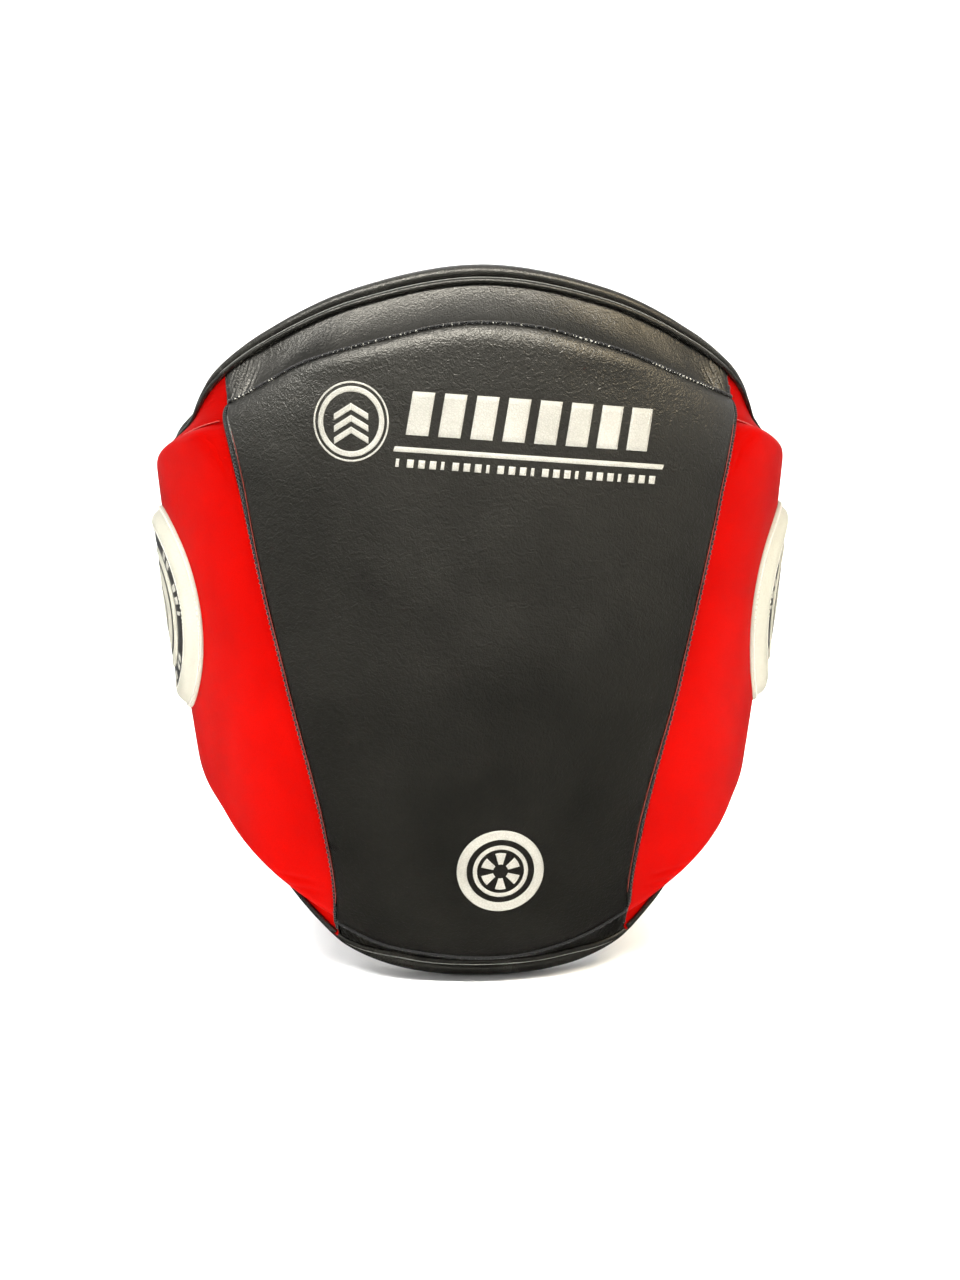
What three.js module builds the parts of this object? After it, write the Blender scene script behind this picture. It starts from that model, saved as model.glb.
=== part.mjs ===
// Trainer belly pad: a padded front block between two flexing side wings, worn round the waist
// and closed behind the back with a wide hook-and-loop belt through a steel ring.
// Millimetres, +Z up, the front faces -Y, left is -X. The origin is on the flat middle of the
// lining, where the pad rests on the wearer.
//
// Every layer is laid out on a torso-shaped shell: theta is the angle round the body from the
// front, in degrees, z is the height above the lowest edge, and depth t is counted outwards
// from the face of the lining.
import * as THREE from 'three';
import { mergeVertices } from 'three/addons/utils/BufferGeometryUtils.js';

const DEG = Math.PI / 180;

// Torso shape that the lining follows
const WAIST_Z = 310;
const WAIST_HALF_WIDTH = 172;
const WIDTH_TAPER = 0.1;
const WIDTH_BOW = 0.00012;
const HALF_DEPTH = 122;
const TUCK_Z = 200;
const TUCK = 0.0003;

// Layer thicknesses
const GAP = 0.4;
const LINING = 1.6;
const BOARD = 5.6;
const SKIN = 1.6;
const BASE = 16;
const CORE_SHARE = 0.55;
const SIDE_WALL_DEG = 1.1;
const WALL_GAP_DEG = 0.45;
const SEAM_GAP_DEG = 0.8;

// Rolled edge and piping
const EDGE = 11.4;
const BINDING_RADIUS_T = 9.4;
const BINDING_RADIUS_Z = 5;
const PIPING_RADIUS = 1.8;
const PIPING_SHORT_DEG = 2;
const PIPING_T = BASE + SKIN + GAP + PIPING_RADIUS;

// Outlines, as [theta, z] points that a smooth curve passes through
const topEdge = curveThrough([
  [-22, 410], [0, 422], [22, 410], [42, 386], [55, 367], [71, 342], [90, 323], [120, 313],
]);
const bottomEdge = curveThrough([
  [-19, 6.5], [0, 3.5], [19, 6.5], [34, 17.5], [43, 34], [52, 55], [61, 72], [75, 85], [90, 98], [120, 114],
]);
const blockTop = curveThrough([[-20, 387], [0, 390], [20, 387], [36, 376], [48, 359], [56, 347]]);
const blockBottom = curveThrough([[-20, 24], [0, 20], [20, 24], [40, 38]]);
const padTop = curveThrough([[36, 338], [60, 328], [75, 319], [90, 311], [120, 299]]);

// Seam between block and wing, as [z, theta]
const seam = curveThrough([
  [6, 39], [45, 32], [95, 30.6], [183, 33.7], [270, 38.3], [314, 41.4], [345, 46.5], [372, 54],
]);

// Depth of the block's front at its middle and along its seams, as [z, t]
const middleDepth = curveThrough([[20, 31], [70, 43], [140, 54], [210, 60], [345, 60], [392, 55]]);
const seamDepth = curveThrough([[20, 25], [48, 33], [95, 42], [180, 51], [300, 51], [335, 42], [360, 22]]);

// Wing
const REAR_DEG = 117;
const PAD_REAR_DEG = 106;
const PAD_LIFT = 20;
const CORNER = 9;
const CORNER_DEG = 3.5;
const wingDepth = curveThrough([[30, 48], [45, 46], [62, 36], [80, 30], [120, 26]]);
const FLUSH_DEG = 62;
const STEP = 4;
const SHOULDER_DEG = 1.25;

// Round side target
const TARGET_DEG = 80;
const TARGET_Z = 218;
const TARGET_RADIUS = 62;
const TARGET_RING = 12;
const TARGET_BAND = 12;
const TARGET_FOAM = 3.6;
const RING_RISE = 2.4;
const MM_PER_DEG = 2.68;

// Belt
const BELT_Z = 215;
const BELT_HEIGHT = 76;
const BELT_T = 18.2;
const BELT_T_AT_BACK = 4;
const HINGE_DEG = 122.2;
const HINGE_T = BELT_T + 1.1;
const BAND = 2.2;
const TAPE = 1.2;
const FOLD_DEG = 184;

// Ring and its strap
const CHAPE_HEIGHT = 72;
const CHAPE_HALF = 2.4;
const BAR_X = 38;
const LOOP_RADIUS = 5;
const HOLE_RADIUS = 2.5;
const WIRE_RADIUS = 2;
const RING_WIDTH = 26;
const RING_HALF_HEIGHT = 41;
const RING_CORNER = 5;

// Place of the origin on the lining: the middle of its flat centre facet
const FLAT_HALF_DEG = 5;
const ORIGIN_Z = 265;

const materials = {
  blackLeather: new THREE.MeshStandardMaterial({ color: 0x17181a, roughness: 0.55, metalness: 0 }),
  redLeather: new THREE.MeshStandardMaterial({ color: 0xd81208, roughness: 0.5, metalness: 0 }),
  whiteLeather: new THREE.MeshStandardMaterial({ color: 0xe9e6dc, roughness: 0.5, metalness: 0 }),
  lining: new THREE.MeshStandardMaterial({ color: 0x222326, roughness: 0.9, metalness: 0 }),
  foam: new THREE.MeshStandardMaterial({ color: 0xb9b6a8, roughness: 0.95, metalness: 0 }),
  board: new THREE.MeshStandardMaterial({ color: 0x3a3a3c, roughness: 0.9, metalness: 0 }),
  elastic: new THREE.MeshStandardMaterial({ color: 0x141416, roughness: 0.95, metalness: 0 }),
  hookLoop: new THREE.MeshStandardMaterial({ color: 0x1c1c1f, roughness: 1, metalness: 0 }),
  steel: new THREE.MeshStandardMaterial({ color: 0xb5b8bb, roughness: 0.3, metalness: 1 }),
};

// A smooth function of x through the given [x, y] points, level beyond both ends
function curveThrough(points) {
  const last = points.length - 1;
  const rise = (i, j) => (points[j][1] - points[i][1]) / (points[j][0] - points[i][0]);
  const slope = (i) => rise(Math.max(i - 1, 0), Math.min(i + 1, last));
  return (x) => {
    const at = THREE.MathUtils.clamp(x, points[0][0], points[last][0]);
    let i = 0;
    while (i < last - 1 && at > points[i + 1][0]) {
      i += 1;
    }
    const width = points[i + 1][0] - points[i][0];
    const s = (at - points[i][0]) / width;
    const blend = s * s * (3 - 2 * s);
    const pull = slope(i) * s * (1 - s) ** 2 - slope(i + 1) * s * s * (1 - s);
    return THREE.MathUtils.lerp(points[i][1], points[i + 1][1], blend) + pull * width;
  };
}

const halfWidth = (z) => WAIST_HALF_WIDTH + WIDTH_TAPER * (z - WAIST_Z) - WIDTH_BOW * (z - WAIST_Z) ** 2;
const halfDepth = (z) => HALF_DEPTH - TUCK * Math.max(0, TUCK_Z - z) ** 2;

function onShell(theta, z, t) {
  const x = (halfWidth(z) + t) * Math.sin(theta * DEG);
  const y = -(halfDepth(z) + t) * Math.cos(theta * DEG);
  return new THREE.Vector3(x, y, z);
}

// Height of the line that lies a given distance inside an edge, measured square to the edge
function insetLine(edge, distance) {
  return (theta) => {
    const slope = (edge(theta + 1) - edge(theta - 1)) / (2 * MM_PER_DEG);
    return edge(theta) + distance * Math.hypot(1, slope);
  };
}

// Moves every vertex of a closed geometry, then makes its faces point out
function bend(geometry, place) {
  geometry.deleteAttribute('normal');
  geometry.deleteAttribute('uv');
  const merged = mergeVertices(geometry, 1e-4);
  const position = merged.getAttribute('position');
  const vertex = new THREE.Vector3();
  for (let i = 0; i < position.count; i += 1) {
    vertex.fromBufferAttribute(position, i);
    const moved = place(vertex);
    position.setXYZ(i, moved.x, moved.y, moved.z);
  }
  return facingOut(merged);
}

function facingOut(geometry) {
  const position = geometry.getAttribute('position');
  const index = geometry.getIndex().array;
  const [a, b, c] = [new THREE.Vector3(), new THREE.Vector3(), new THREE.Vector3()];
  let volume = 0;
  for (let i = 0; i < index.length; i += 3) {
    a.fromBufferAttribute(position, index[i]);
    b.fromBufferAttribute(position, index[i + 1]);
    c.fromBufferAttribute(position, index[i + 2]);
    volume += a.dot(b.cross(c));
  }
  if (volume < 0) {
    for (let i = 0; i < index.length; i += 3) {
      [index[i], index[i + 1]] = [index[i + 1], index[i]];
    }
  }
  geometry.computeVertexNormals();
  return geometry;
}

// Angle and height that each depend on the other
function settle(thetaAt, zAt) {
  let theta = 0;
  let z = WAIST_Z;
  for (let pass = 0; pass < 16; pass += 1) {
    theta = thetaAt(z);
    z = zAt(theta);
  }
  return { theta, z };
}

// A block of cells, columns by rows and one cell deep, whose two faces are cut into triangles
// along the same diagonals, so that neighbouring layers nest
function cells(across, up) {
  const vertices = [];
  const triangles = [];
  const at = (i, j, k) => (k * (up + 1) + j) * (across + 1) + i;
  const quad = (a, b, c, d) => triangles.push(a, b, c, a, c, d);
  for (const k of [0, 1]) {
    for (let j = 0; j <= up; j += 1) {
      for (let i = 0; i <= across; i += 1) {
        vertices.push(i, j, k);
      }
    }
  }
  for (let i = 0; i < across; i += 1) {
    for (let j = 0; j < up; j += 1) {
      quad(at(i, j, 1), at(i + 1, j, 1), at(i + 1, j + 1, 1), at(i, j + 1, 1));
      triangles.push(at(i, j, 0), at(i + 1, j + 1, 0), at(i + 1, j, 0));
      triangles.push(at(i, j, 0), at(i, j + 1, 0), at(i + 1, j + 1, 0));
    }
    quad(at(i, 0, 0), at(i + 1, 0, 0), at(i + 1, 0, 1), at(i, 0, 1));
    quad(at(i, up, 1), at(i + 1, up, 1), at(i + 1, up, 0), at(i, up, 0));
  }
  for (let j = 0; j < up; j += 1) {
    quad(at(0, j, 0), at(0, j, 1), at(0, j + 1, 1), at(0, j + 1, 0));
    quad(at(across, j, 1), at(across, j, 0), at(across, j + 1, 0), at(across, j + 1, 1));
  }
  const geometry = new THREE.BufferGeometry();
  geometry.setAttribute('position', new THREE.Float32BufferAttribute(vertices, 3));
  geometry.setIndex(triangles);
  return geometry;
}

// A layer of the shell: node(i, j) gives the shared grid's angle and height, and the layer
// fills the listed columns and rows between its inner and outer depth
function layer(node, columns, rows, inner, outer, side = 1) {
  return bend(cells(columns.length - 1, rows.length - 1), (p) => {
    const [i, j] = [columns[p.x], rows[p.y]];
    const { theta, z } = node(i, j);
    return onShell(side * theta, z, p.z > 0.5 ? outer(theta, z, i, j) : inner(theta, z, i, j));
  });
}

// A bead of oval section along a path: pathAt(s) gives the angle, height, and the unit
// direction along the shell in which the oval's second radius lies
function bead(pathAt, steps, sides, t, radiusT, radiusAlong, side = 1) {
  const rod = new THREE.CylinderGeometry(1, 1, 1, sides, steps);
  rod.translate(0, 0.5, 0);
  return bend(rod, (p) => {
    const { theta, z, out } = pathAt(p.y);
    const along = radiusAlong * p.z;
    return onShell(side * (theta + along * out.x / MM_PER_DEG), z + along * out.y, t + radiusT * p.x);
  });
}

// A turned disc or ring laid on the side of the wing
function onTarget(profile, side) {
  const turned = new THREE.LatheGeometry(profile.map(([r, h]) => new THREE.Vector2(r, h)), 28);
  return bend(turned, (p) => {
    const theta = TARGET_DEG + p.x / MM_PER_DEG;
    const z = TARGET_Z + p.z;
    return onShell(side * theta, z, wingDepth(theta) + 1 + p.y);
  });
}

function range(from, to) {
  return Array.from({ length: to - from + 1 }, (_, i) => from + i);
}

const pad = new THREE.Group();
pad.position.set(0, halfDepth(ORIGIN_Z) * Math.cos(FLAT_HALF_DEG * DEG), -ORIGIN_Z);

function addMesh(name, geometry, material) {
  const mesh = new THREE.Mesh(geometry, material.clone());
  mesh.name = name;
  pad.add(mesh);
  return mesh;
}

// ---- Centre block ----

function blockDepth(theta, z) {
  return THREE.MathUtils.lerp(middleDepth(z), seamDepth(z), (theta / seam(z)) ** 2);
}

// Columns count from the middle out: flat facet, two more, shoulder, side wall's two faces
function centreTheta(column, z) {
  const edge = seam(z);
  const shoulder = edge - 3.5;
  const steps = [
    FLAT_HALF_DEG,
    THREE.MathUtils.lerp(FLAT_HALF_DEG, shoulder, 1 / 3),
    THREE.MathUtils.lerp(FLAT_HALF_DEG, shoulder, 2 / 3),
    shoulder,
    edge - SIDE_WALL_DEG - WALL_GAP_DEG,
    edge - SIDE_WALL_DEG,
    edge,
  ];
  return column < 7 ? -steps[6 - column] : steps[column - 7];
}

const faceShares = [0, 0.1, 0.24, 0.4, 0.58, 0.76, 0.92, 1];
const rowDrop = 0.6;

function centreZ(row, theta) {
  const reach = Math.abs(theta);
  const [low, high] = [blockBottom(reach), blockTop(reach)];
  const face = (share) => THREE.MathUtils.lerp(low + 10, high - 10, share);
  const heights = [
    insetLine(bottomEdge, EDGE)(reach),
    low - rowDrop,
    low,
    low + 3.5,
    ...faceShares.map(face),
    high - 3.5,
    high,
    high + rowDrop,
    insetLine(topEdge, -EDGE)(reach),
  ];
  return heights[row];
}

const centreNode = (i, j) => settle((z) => centreTheta(i, z), (theta) => centreZ(j, theta));
const LAST_COLUMN = 13;
const LAST_ROW = 15;
const blockColumns = range(2, LAST_COLUMN - 2);
const baseColumns = [0, 3, 4, 5, 6, 7, 8, 9, 10, 13];
const baseRows = [0, 2, 4, 5, 6, 7, 8, 9, 10, 11, 13, LAST_ROW];

// The block's edge is rounded: 0 where the cover meets the base, 1 on the full face
function roundness(i, j) {
  const fromEnd = Math.min(j - 2, LAST_ROW - 2 - j);
  const fromSide = Math.min(i - 2, LAST_COLUMN - 2 - i);
  const ends = [0, 0.72, 0.96];
  return (ends[fromEnd] ?? 1) * (fromSide <= 0 ? 0.95 : 1);
}

const coverFrom = BASE + GAP;
const coverInside = (theta, z, i, j) => {
  return coverFrom + (blockDepth(theta, z) - SKIN - coverFrom) * roundness(i, j);
};
const coreTop = (...at) => THREE.MathUtils.lerp(coverFrom, coverInside(...at), CORE_SHARE);
const depth = (t) => () => t;

function addCentre() {
  const foamRows = range(3, LAST_ROW - 3);
  const all = (inner, outer) => layer(centreNode, baseColumns, baseRows, inner, outer);
  addMesh('lining_center', all(depth(0), depth(LINING)), materials.lining);
  addMesh('backing_board', all(depth(LINING + GAP), depth(LINING + GAP + BOARD)), materials.board);
  const foamFrom = LINING + BOARD + 2 * GAP;
  addMesh('base_foam_center', all(depth(foamFrom), depth(BASE - GAP)), materials.foam);
  const core = layer(centreNode, blockColumns, foamRows, depth(BASE), coreTop);
  addMesh('core_foam', core, materials.foam);
  const faceFrom = (...at) => coreTop(...at) + GAP;
  const faceTo = (...at) => coverInside(...at) - GAP;
  const face = layer(centreNode, blockColumns, foamRows, faceFrom, faceTo);
  addMesh('face_foam', face, materials.foam);
  const coverTo = (...at) => coverInside(...at) + SKIN;
  const cover = layer(centreNode, blockColumns, range(2, LAST_ROW - 2), coverInside, coverTo);
  addMesh('front_cover', cover, materials.blackLeather);
  const wallFrom = BASE + SKIN + GAP;
  const wallTop = (theta, z, i, j) => wallFrom + (blockDepth(theta, z) - wallFrom) * roundness(3, j);
  for (const [name, columns] of [['left', [0, 1]], ['right', [LAST_COLUMN - 1, LAST_COLUMN]]]) {
    const wall = layer(centreNode, columns, range(2, LAST_ROW - 2), depth(BASE), wallTop);
    addMesh(`side_wall_${name}`, wall, materials.blackLeather);
  }
  const band = (rows) => layer(centreNode, baseColumns, rows, depth(BASE), depth(BASE + SKIN));
  addMesh('top_band', band([LAST_ROW - 1, LAST_ROW]), materials.blackLeather);
  addMesh('bottom_band', band([0, 1]), materials.blackLeather);
}

function addCentreEdges() {
  const edges = { top: { edge: topEdge, out: 1 }, bottom: { edge: bottomEdge, out: -1 } };
  for (const [name, { edge, out }] of Object.entries(edges)) {
    const limit = settle(seam, insetLine(edge, -out * BINDING_RADIUS_Z)).theta;
    const along = (inset, reach) => (s) => {
      const theta = THREE.MathUtils.lerp(-reach, reach, s);
      return { theta, z: insetLine(edge, -out * inset)(Math.abs(theta)), out: new THREE.Vector2(0, 1) };
    };
    const t = BASE / 2;
    const roll = bead(along(BINDING_RADIUS_Z, limit), 16, 8, t, BINDING_RADIUS_T, BINDING_RADIUS_Z);
    addMesh(`${name}_binding`, roll, materials.blackLeather);
    const path = along(EDGE, limit - PIPING_SHORT_DEG);
    const piping = bead(path, 16, 6, PIPING_T, PIPING_RADIUS, PIPING_RADIUS);
    addMesh(`${name}_piping`, piping, materials.blackLeather);
  }
}

// ---- Wings ----

function wingTheta(column, z) {
  const from = seam(z) + SEAM_GAP_DEG;
  const shoulder = from + SHOULDER_DEG;
  const rear = PAD_REAR_DEG - 2 * SHOULDER_DEG;
  const steps = [0.1, 0.25, 0.4, 0.6, 0.8, 1].map((share) => THREE.MathUtils.lerp(shoulder, rear, share));
  return [from, shoulder, ...steps, PAD_REAR_DEG, REAR_DEG - CORNER_DEG, REAR_DEG][column];
}

function wingZ(row, theta) {
  const low = bottomEdge(theta) + PAD_LIFT;
  const high = padTop(theta);
  const face = [0, 0.25, 0.5, 0.75, 1].map((share) => THREE.MathUtils.lerp(low + 5, high - 5, share));
  const corner = CORNER * THREE.MathUtils.clamp((theta - REAR_DEG) / CORNER_DEG + 1, 0, 1);
  const [bottom, top] = [insetLine(bottomEdge, EDGE)(theta), insetLine(topEdge, -EDGE)(theta)];
  return [bottom + corner, low, ...face, high, top - corner][row];
}

const wingNode = (i, j) => settle((z) => wingTheta(i, z), (theta) => wingZ(j, theta));
const WING_COLUMN = 10;
const PAD_COLUMN = 8;
const WING_ROW = 8;

// Near the seam the wing's pad lies a little below the block's edge all the way down
function wingFace(theta, z) {
  const share = THREE.MathUtils.smoothstep(theta, seam(z), FLUSH_DEG);
  return THREE.MathUtils.lerp(Math.min(seamDepth(z) - STEP, wingDepth(theta)), wingDepth(theta), share);
}

function padInside(theta, z, i, j) {
  const from = BASE + SKIN + 2 * GAP;
  const atEdge = i === 0 || i === PAD_COLUMN || j === 1 || j === WING_ROW - 1;
  const nearEdge = i === PAD_COLUMN - 1 || j === 2 || j === WING_ROW - 2;
  const share = atEdge ? 0 : nearEdge ? 0.88 : 1;
  return from + (wingFace(theta, z) - SKIN - from) * share;
}

function addWing(side, name) {
  const columns = range(0, WING_COLUMN);
  const rows = range(0, WING_ROW);
  const all = (inner, outer) => layer(wingNode, columns, rows, inner, outer, side);
  addMesh(`lining_${name}`, all(depth(0), depth(LINING)), materials.lining);
  addMesh(`base_foam_${name}`, all(depth(LINING + GAP), depth(BASE - GAP)), materials.foam);
  addMesh(`flange_${name}`, all(depth(BASE), depth(BASE + SKIN)), materials.redLeather);
  const foamColumns = range(1, PAD_COLUMN - 1);
  const foamRows = range(2, WING_ROW - 2);
  const foamTo = (...at) => padInside(...at) - GAP;
  const foam = layer(wingNode, foamColumns, foamRows, depth(BASE + SKIN + GAP), foamTo, side);
  addMesh(`pad_foam_${name}`, foam, materials.foam);
  const coverTo = (...at) => padInside(...at) + SKIN;
  const cover = layer(wingNode, range(0, PAD_COLUMN), range(1, WING_ROW - 1), padInside, coverTo, side);
  addMesh(`pad_cover_${name}`, cover, materials.redLeather);
}

// The wing's rolled edge runs from the seam along the top, down the rear and back below
function wingEdge() {
  const inset = BINDING_RADIUS_Z;
  const line = { top: insetLine(topEdge, -inset), bottom: insetLine(bottomEdge, inset) };
  const from = (edgeLine) => settle((z) => seam(z) + 3 * SEAM_GAP_DEG, edgeLine).theta;
  const corner = REAR_DEG - CORNER_DEG;
  const rear = REAR_DEG + (EDGE - inset) / MM_PER_DEG;
  const points = [];
  const point = (theta, z) => points.push(new THREE.Vector2(theta * MM_PER_DEG, z));
  for (let s = 0; s <= 1; s += 0.125) {
    const theta = THREE.MathUtils.lerp(from(line.top), corner, s);
    point(theta, line.top(theta));
  }
  const [low, high] = [bottomEdge(rear) + EDGE + CORNER, topEdge(rear) - EDGE - CORNER];
  point(REAR_DEG + 1, high + CORNER + 1.5);
  for (let s = 0; s <= 1; s += 0.25) {
    point(rear, THREE.MathUtils.lerp(high, low, s));
  }
  point(REAR_DEG + 1, low - CORNER - 1.5);
  for (let s = 0; s <= 1; s += 0.125) {
    const theta = THREE.MathUtils.lerp(corner, from(line.bottom), s);
    point(theta, line.bottom(theta));
  }
  return new THREE.SplineCurve(points);
}

function addWingEdge(side, name) {
  const path = wingEdge();
  const along = (s) => {
    const at = path.getPoint(s);
    const heading = path.getTangent(s);
    return { theta: at.x / MM_PER_DEG, z: at.y, out: new THREE.Vector2(-heading.y, heading.x) };
  };
  const roll = bead(along, path.points.length - 1, 8, BASE / 2, BINDING_RADIUS_T, BINDING_RADIUS_Z, side);
  addMesh(`binding_${name}`, roll, materials.blackLeather);
}

function addTarget(side, name) {
  const [ringIn, bandIn] = [TARGET_RADIUS - TARGET_RING, TARGET_RADIUS - TARGET_RING - TARGET_BAND];
  const top = TARGET_FOAM + GAP;
  const disc = (radius, from, to) => {
    return [[0, from], [radius / 2, from], [radius, from], [radius, to], [radius / 2, to], [0, to]];
  };
  const ring = (inner, outer, from, to) => {
    return [[inner, from], [outer, from], [outer, to], [inner, to], [inner, from]];
  };
  addMesh(`target_foam_${name}`, onTarget(disc(TARGET_RADIUS, 0, TARGET_FOAM), side), materials.foam);
  const outerRing = ring(ringIn, TARGET_RADIUS, top, top + RING_RISE);
  addMesh(`target_ring_${name}`, onTarget(outerRing, side), materials.whiteLeather);
  const band = ring(bandIn, ringIn - GAP, top, top + SKIN);
  addMesh(`target_band_${name}`, onTarget(band, side), materials.blackLeather);
  const face = disc(bandIn - GAP, top, top + SKIN);
  addMesh(`target_face_${name}`, onTarget(face, side), materials.whiteLeather);
}

// ---- Belt ----

// The belt leaves the wing over its rolled rear edge and then lies close to the back
const beltT = (theta) => {
  return THREE.MathUtils.lerp(BELT_T, BELT_T_AT_BACK, THREE.MathUtils.smoothstep(theta, HINGE_DEG, 160));
};

function strip(from, to, lift, thickness, height, steps, side = 1) {
  const box = new THREE.BoxGeometry(1, height, thickness, steps, 1, 1);
  box.translate(0.5, 0, thickness / 2);
  return bend(box, (p) => {
    const theta = THREE.MathUtils.lerp(from, to, p.x);
    return onShell(side * theta, BELT_Z + p.y, beltT(theta) + lift + p.z);
  });
}

function addAnchors() {
  for (const [side, name] of [[-1, 'left'], [1, 'right']]) {
    const patch = strip(PAD_REAR_DEG + 1.2, HINGE_DEG - 0.7, 0, BAND, BELT_HEIGHT + 8, 5, side);
    addMesh(`strap_anchor_${name}`, patch, materials.blackLeather);
  }
}

function addBelt() {
  const end = FOLD_DEG - 0.6;
  const tapeLift = BAND + 0.3;
  const hookLift = tapeLift + TAPE + GAP;
  const tailLift = hookLift + TAPE + 0.3;
  addMesh('elastic_band', strip(HINGE_DEG + 0.7, end, 0, BAND, BELT_HEIGHT, 16), materials.elastic);
  addMesh('loop_panel', strip(140, end - 1, tapeLift, TAPE, BELT_HEIGHT - 4, 12), materials.hookLoop);
  addMesh('hook_panel', strip(148, end - 2, hookLift, TAPE, BELT_HEIGHT - 6, 10), materials.hookLoop);
  addMesh('tail_band', strip(131, FOLD_DEG - 0.1, tailLift, BAND, BELT_HEIGHT, 14), materials.elastic);
  addMesh('tail_tab', strip(126.5, 130.8, tailLift, BAND, BELT_HEIGHT - 4, 3), materials.blackLeather);
}

// Places a piece drawn flat, x running from the hinge along the strap, at the left hinge
function atLeftHinge(mesh) {
  const hinge = onShell(-HINGE_DEG, BELT_Z, HINGE_T);
  const next = onShell(-HINGE_DEG - 12, BELT_Z, beltT(HINGE_DEG + 12) + 1.1);
  mesh.position.copy(hinge);
  mesh.rotation.z = Math.atan2(next.y - hinge.y, next.x - hinge.x);
}

function addChape() {
  const turn = Math.asin(CHAPE_HALF / LOOP_RADIUS);
  const outline = new THREE.Shape();
  outline.moveTo(3, -CHAPE_HALF);
  outline.absarc(BAR_X, 0, LOOP_RADIUS, -Math.PI + turn, Math.PI - turn, false);
  outline.lineTo(3, CHAPE_HALF);
  outline.closePath();
  const hole = new THREE.Path();
  hole.absarc(BAR_X, 0, HOLE_RADIUS, 0, 2 * Math.PI, true);
  outline.holes.push(hole);
  const options = { depth: CHAPE_HEIGHT, bevelEnabled: false, curveSegments: 8 };
  const solid = new THREE.ExtrudeGeometry(outline, options);
  solid.translate(0, 0, -CHAPE_HEIGHT / 2);
  const mesh = addMesh('ring_strap', bend(solid, (p) => p), materials.elastic);
  atLeftHinge(mesh);
}

// A closed wire round a rectangle with rounded corners
function addRing() {
  const [near, far] = [BAR_X, BAR_X + RING_WIDTH];
  const corner = RING_CORNER;
  const high = RING_HALF_HEIGHT;
  const outline = new THREE.Path();
  outline.absarc(far - corner, high - corner, corner, 0, Math.PI / 2, false);
  outline.absarc(near + corner, high - corner, corner, Math.PI / 2, Math.PI, false);
  outline.absarc(near + corner, -high + corner, corner, Math.PI, 1.5 * Math.PI, false);
  outline.absarc(far - corner, -high + corner, corner, 1.5 * Math.PI, 2 * Math.PI, false);
  const stations = outline.getPoints(3);
  const sides = 8;
  const wheel = new THREE.TorusGeometry(2, 1, sides, stations.length);
  const solid = bend(wheel, (p) => {
    const angle = (Math.atan2(p.y, p.x) + 2 * Math.PI) % (2 * Math.PI);
    const i = Math.round(angle / (2 * Math.PI) * stations.length) % stations.length;
    const before = stations[(i + stations.length - 1) % stations.length];
    const after = stations[(i + 1) % stations.length];
    const heading = after.clone().sub(before).normalize();
    const out = (Math.hypot(p.x, p.y) - 2) * WIRE_RADIUS;
    const at = stations[i];
    return new THREE.Vector3(at.x + heading.y * out, p.z * WIRE_RADIUS, at.y - heading.x * out);
  });
  atLeftHinge(addMesh('steel_ring', solid, materials.steel));
}

addCentre();
addCentreEdges();
for (const [side, name] of [[-1, 'left'], [1, 'right']]) {
  addWing(side, name);
  addWingEdge(side, name);
  addTarget(side, name);
}
addAnchors();
addBelt();
addChape();
addRing();

export default pad;
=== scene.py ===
"""Looks of a trainer belly pad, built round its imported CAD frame.

Lengths in the layout functions are millimetres: theta is the angle round the body from the front in degrees, z the
height above the lowest edge and t the depth counted outwards from the face of the lining. Meshes are in metres.
"""
import math

import bpy
import numpy as np
from mathutils import Matrix, Vector
from mathutils.bvhtree import BVHTree


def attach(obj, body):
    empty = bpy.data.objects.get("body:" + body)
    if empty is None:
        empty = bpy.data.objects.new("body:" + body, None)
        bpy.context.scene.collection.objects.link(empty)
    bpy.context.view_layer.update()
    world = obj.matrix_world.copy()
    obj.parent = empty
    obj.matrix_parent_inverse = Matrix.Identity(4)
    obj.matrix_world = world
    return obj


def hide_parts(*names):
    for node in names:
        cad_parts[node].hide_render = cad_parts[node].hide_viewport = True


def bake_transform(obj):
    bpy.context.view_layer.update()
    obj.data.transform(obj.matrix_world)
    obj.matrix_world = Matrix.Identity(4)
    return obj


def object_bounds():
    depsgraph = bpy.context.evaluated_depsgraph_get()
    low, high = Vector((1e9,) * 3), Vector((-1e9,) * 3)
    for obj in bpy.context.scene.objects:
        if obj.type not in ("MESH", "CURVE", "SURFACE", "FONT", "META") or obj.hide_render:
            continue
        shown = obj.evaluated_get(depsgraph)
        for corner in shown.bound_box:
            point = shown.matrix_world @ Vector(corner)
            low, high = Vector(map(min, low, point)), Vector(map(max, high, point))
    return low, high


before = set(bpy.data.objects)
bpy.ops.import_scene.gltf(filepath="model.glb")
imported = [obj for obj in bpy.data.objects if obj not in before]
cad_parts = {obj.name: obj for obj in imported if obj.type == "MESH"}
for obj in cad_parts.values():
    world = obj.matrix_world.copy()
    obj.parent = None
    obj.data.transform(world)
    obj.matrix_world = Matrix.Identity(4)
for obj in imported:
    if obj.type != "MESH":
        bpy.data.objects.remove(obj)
cad_low, cad_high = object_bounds()

# ---- Driving dimensions, as in the CAD ----

BASE = 16.0
SKIN = 1.6
EDGE = 11.4
ROLL_T = 9.4
ROLL_Z = 5.0
REAR_DEG = 117.0
PAD_REAR_DEG = 106.0
PAD_LIFT = 20.0
CORNER = 9.0
CORNER_DEG = 3.5
FLUSH_DEG = 62.0
STEP = 4.0
LOW_SLIM = 3.9
TARGET_DEG = 80.0
TARGET_Z = 218.0
TARGET_RADIUS = 62.0
BELT_Z = 215.0
BELT_HEIGHT = 76.0
BELT_T = 18.2
BELT_T_AT_BACK = 4.0
HINGE_DEG = 122.2
FOLD_DEG = 184.0
BAR_X = 38.0
RING_WIDTH = 26.0
RING_HALF_HEIGHT = 41.0
ORIGIN_Z = 265.0
ORIGIN_Y = 122.0 * math.cos(math.radians(5))

# ---- Sizes of the visual model only ----

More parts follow.
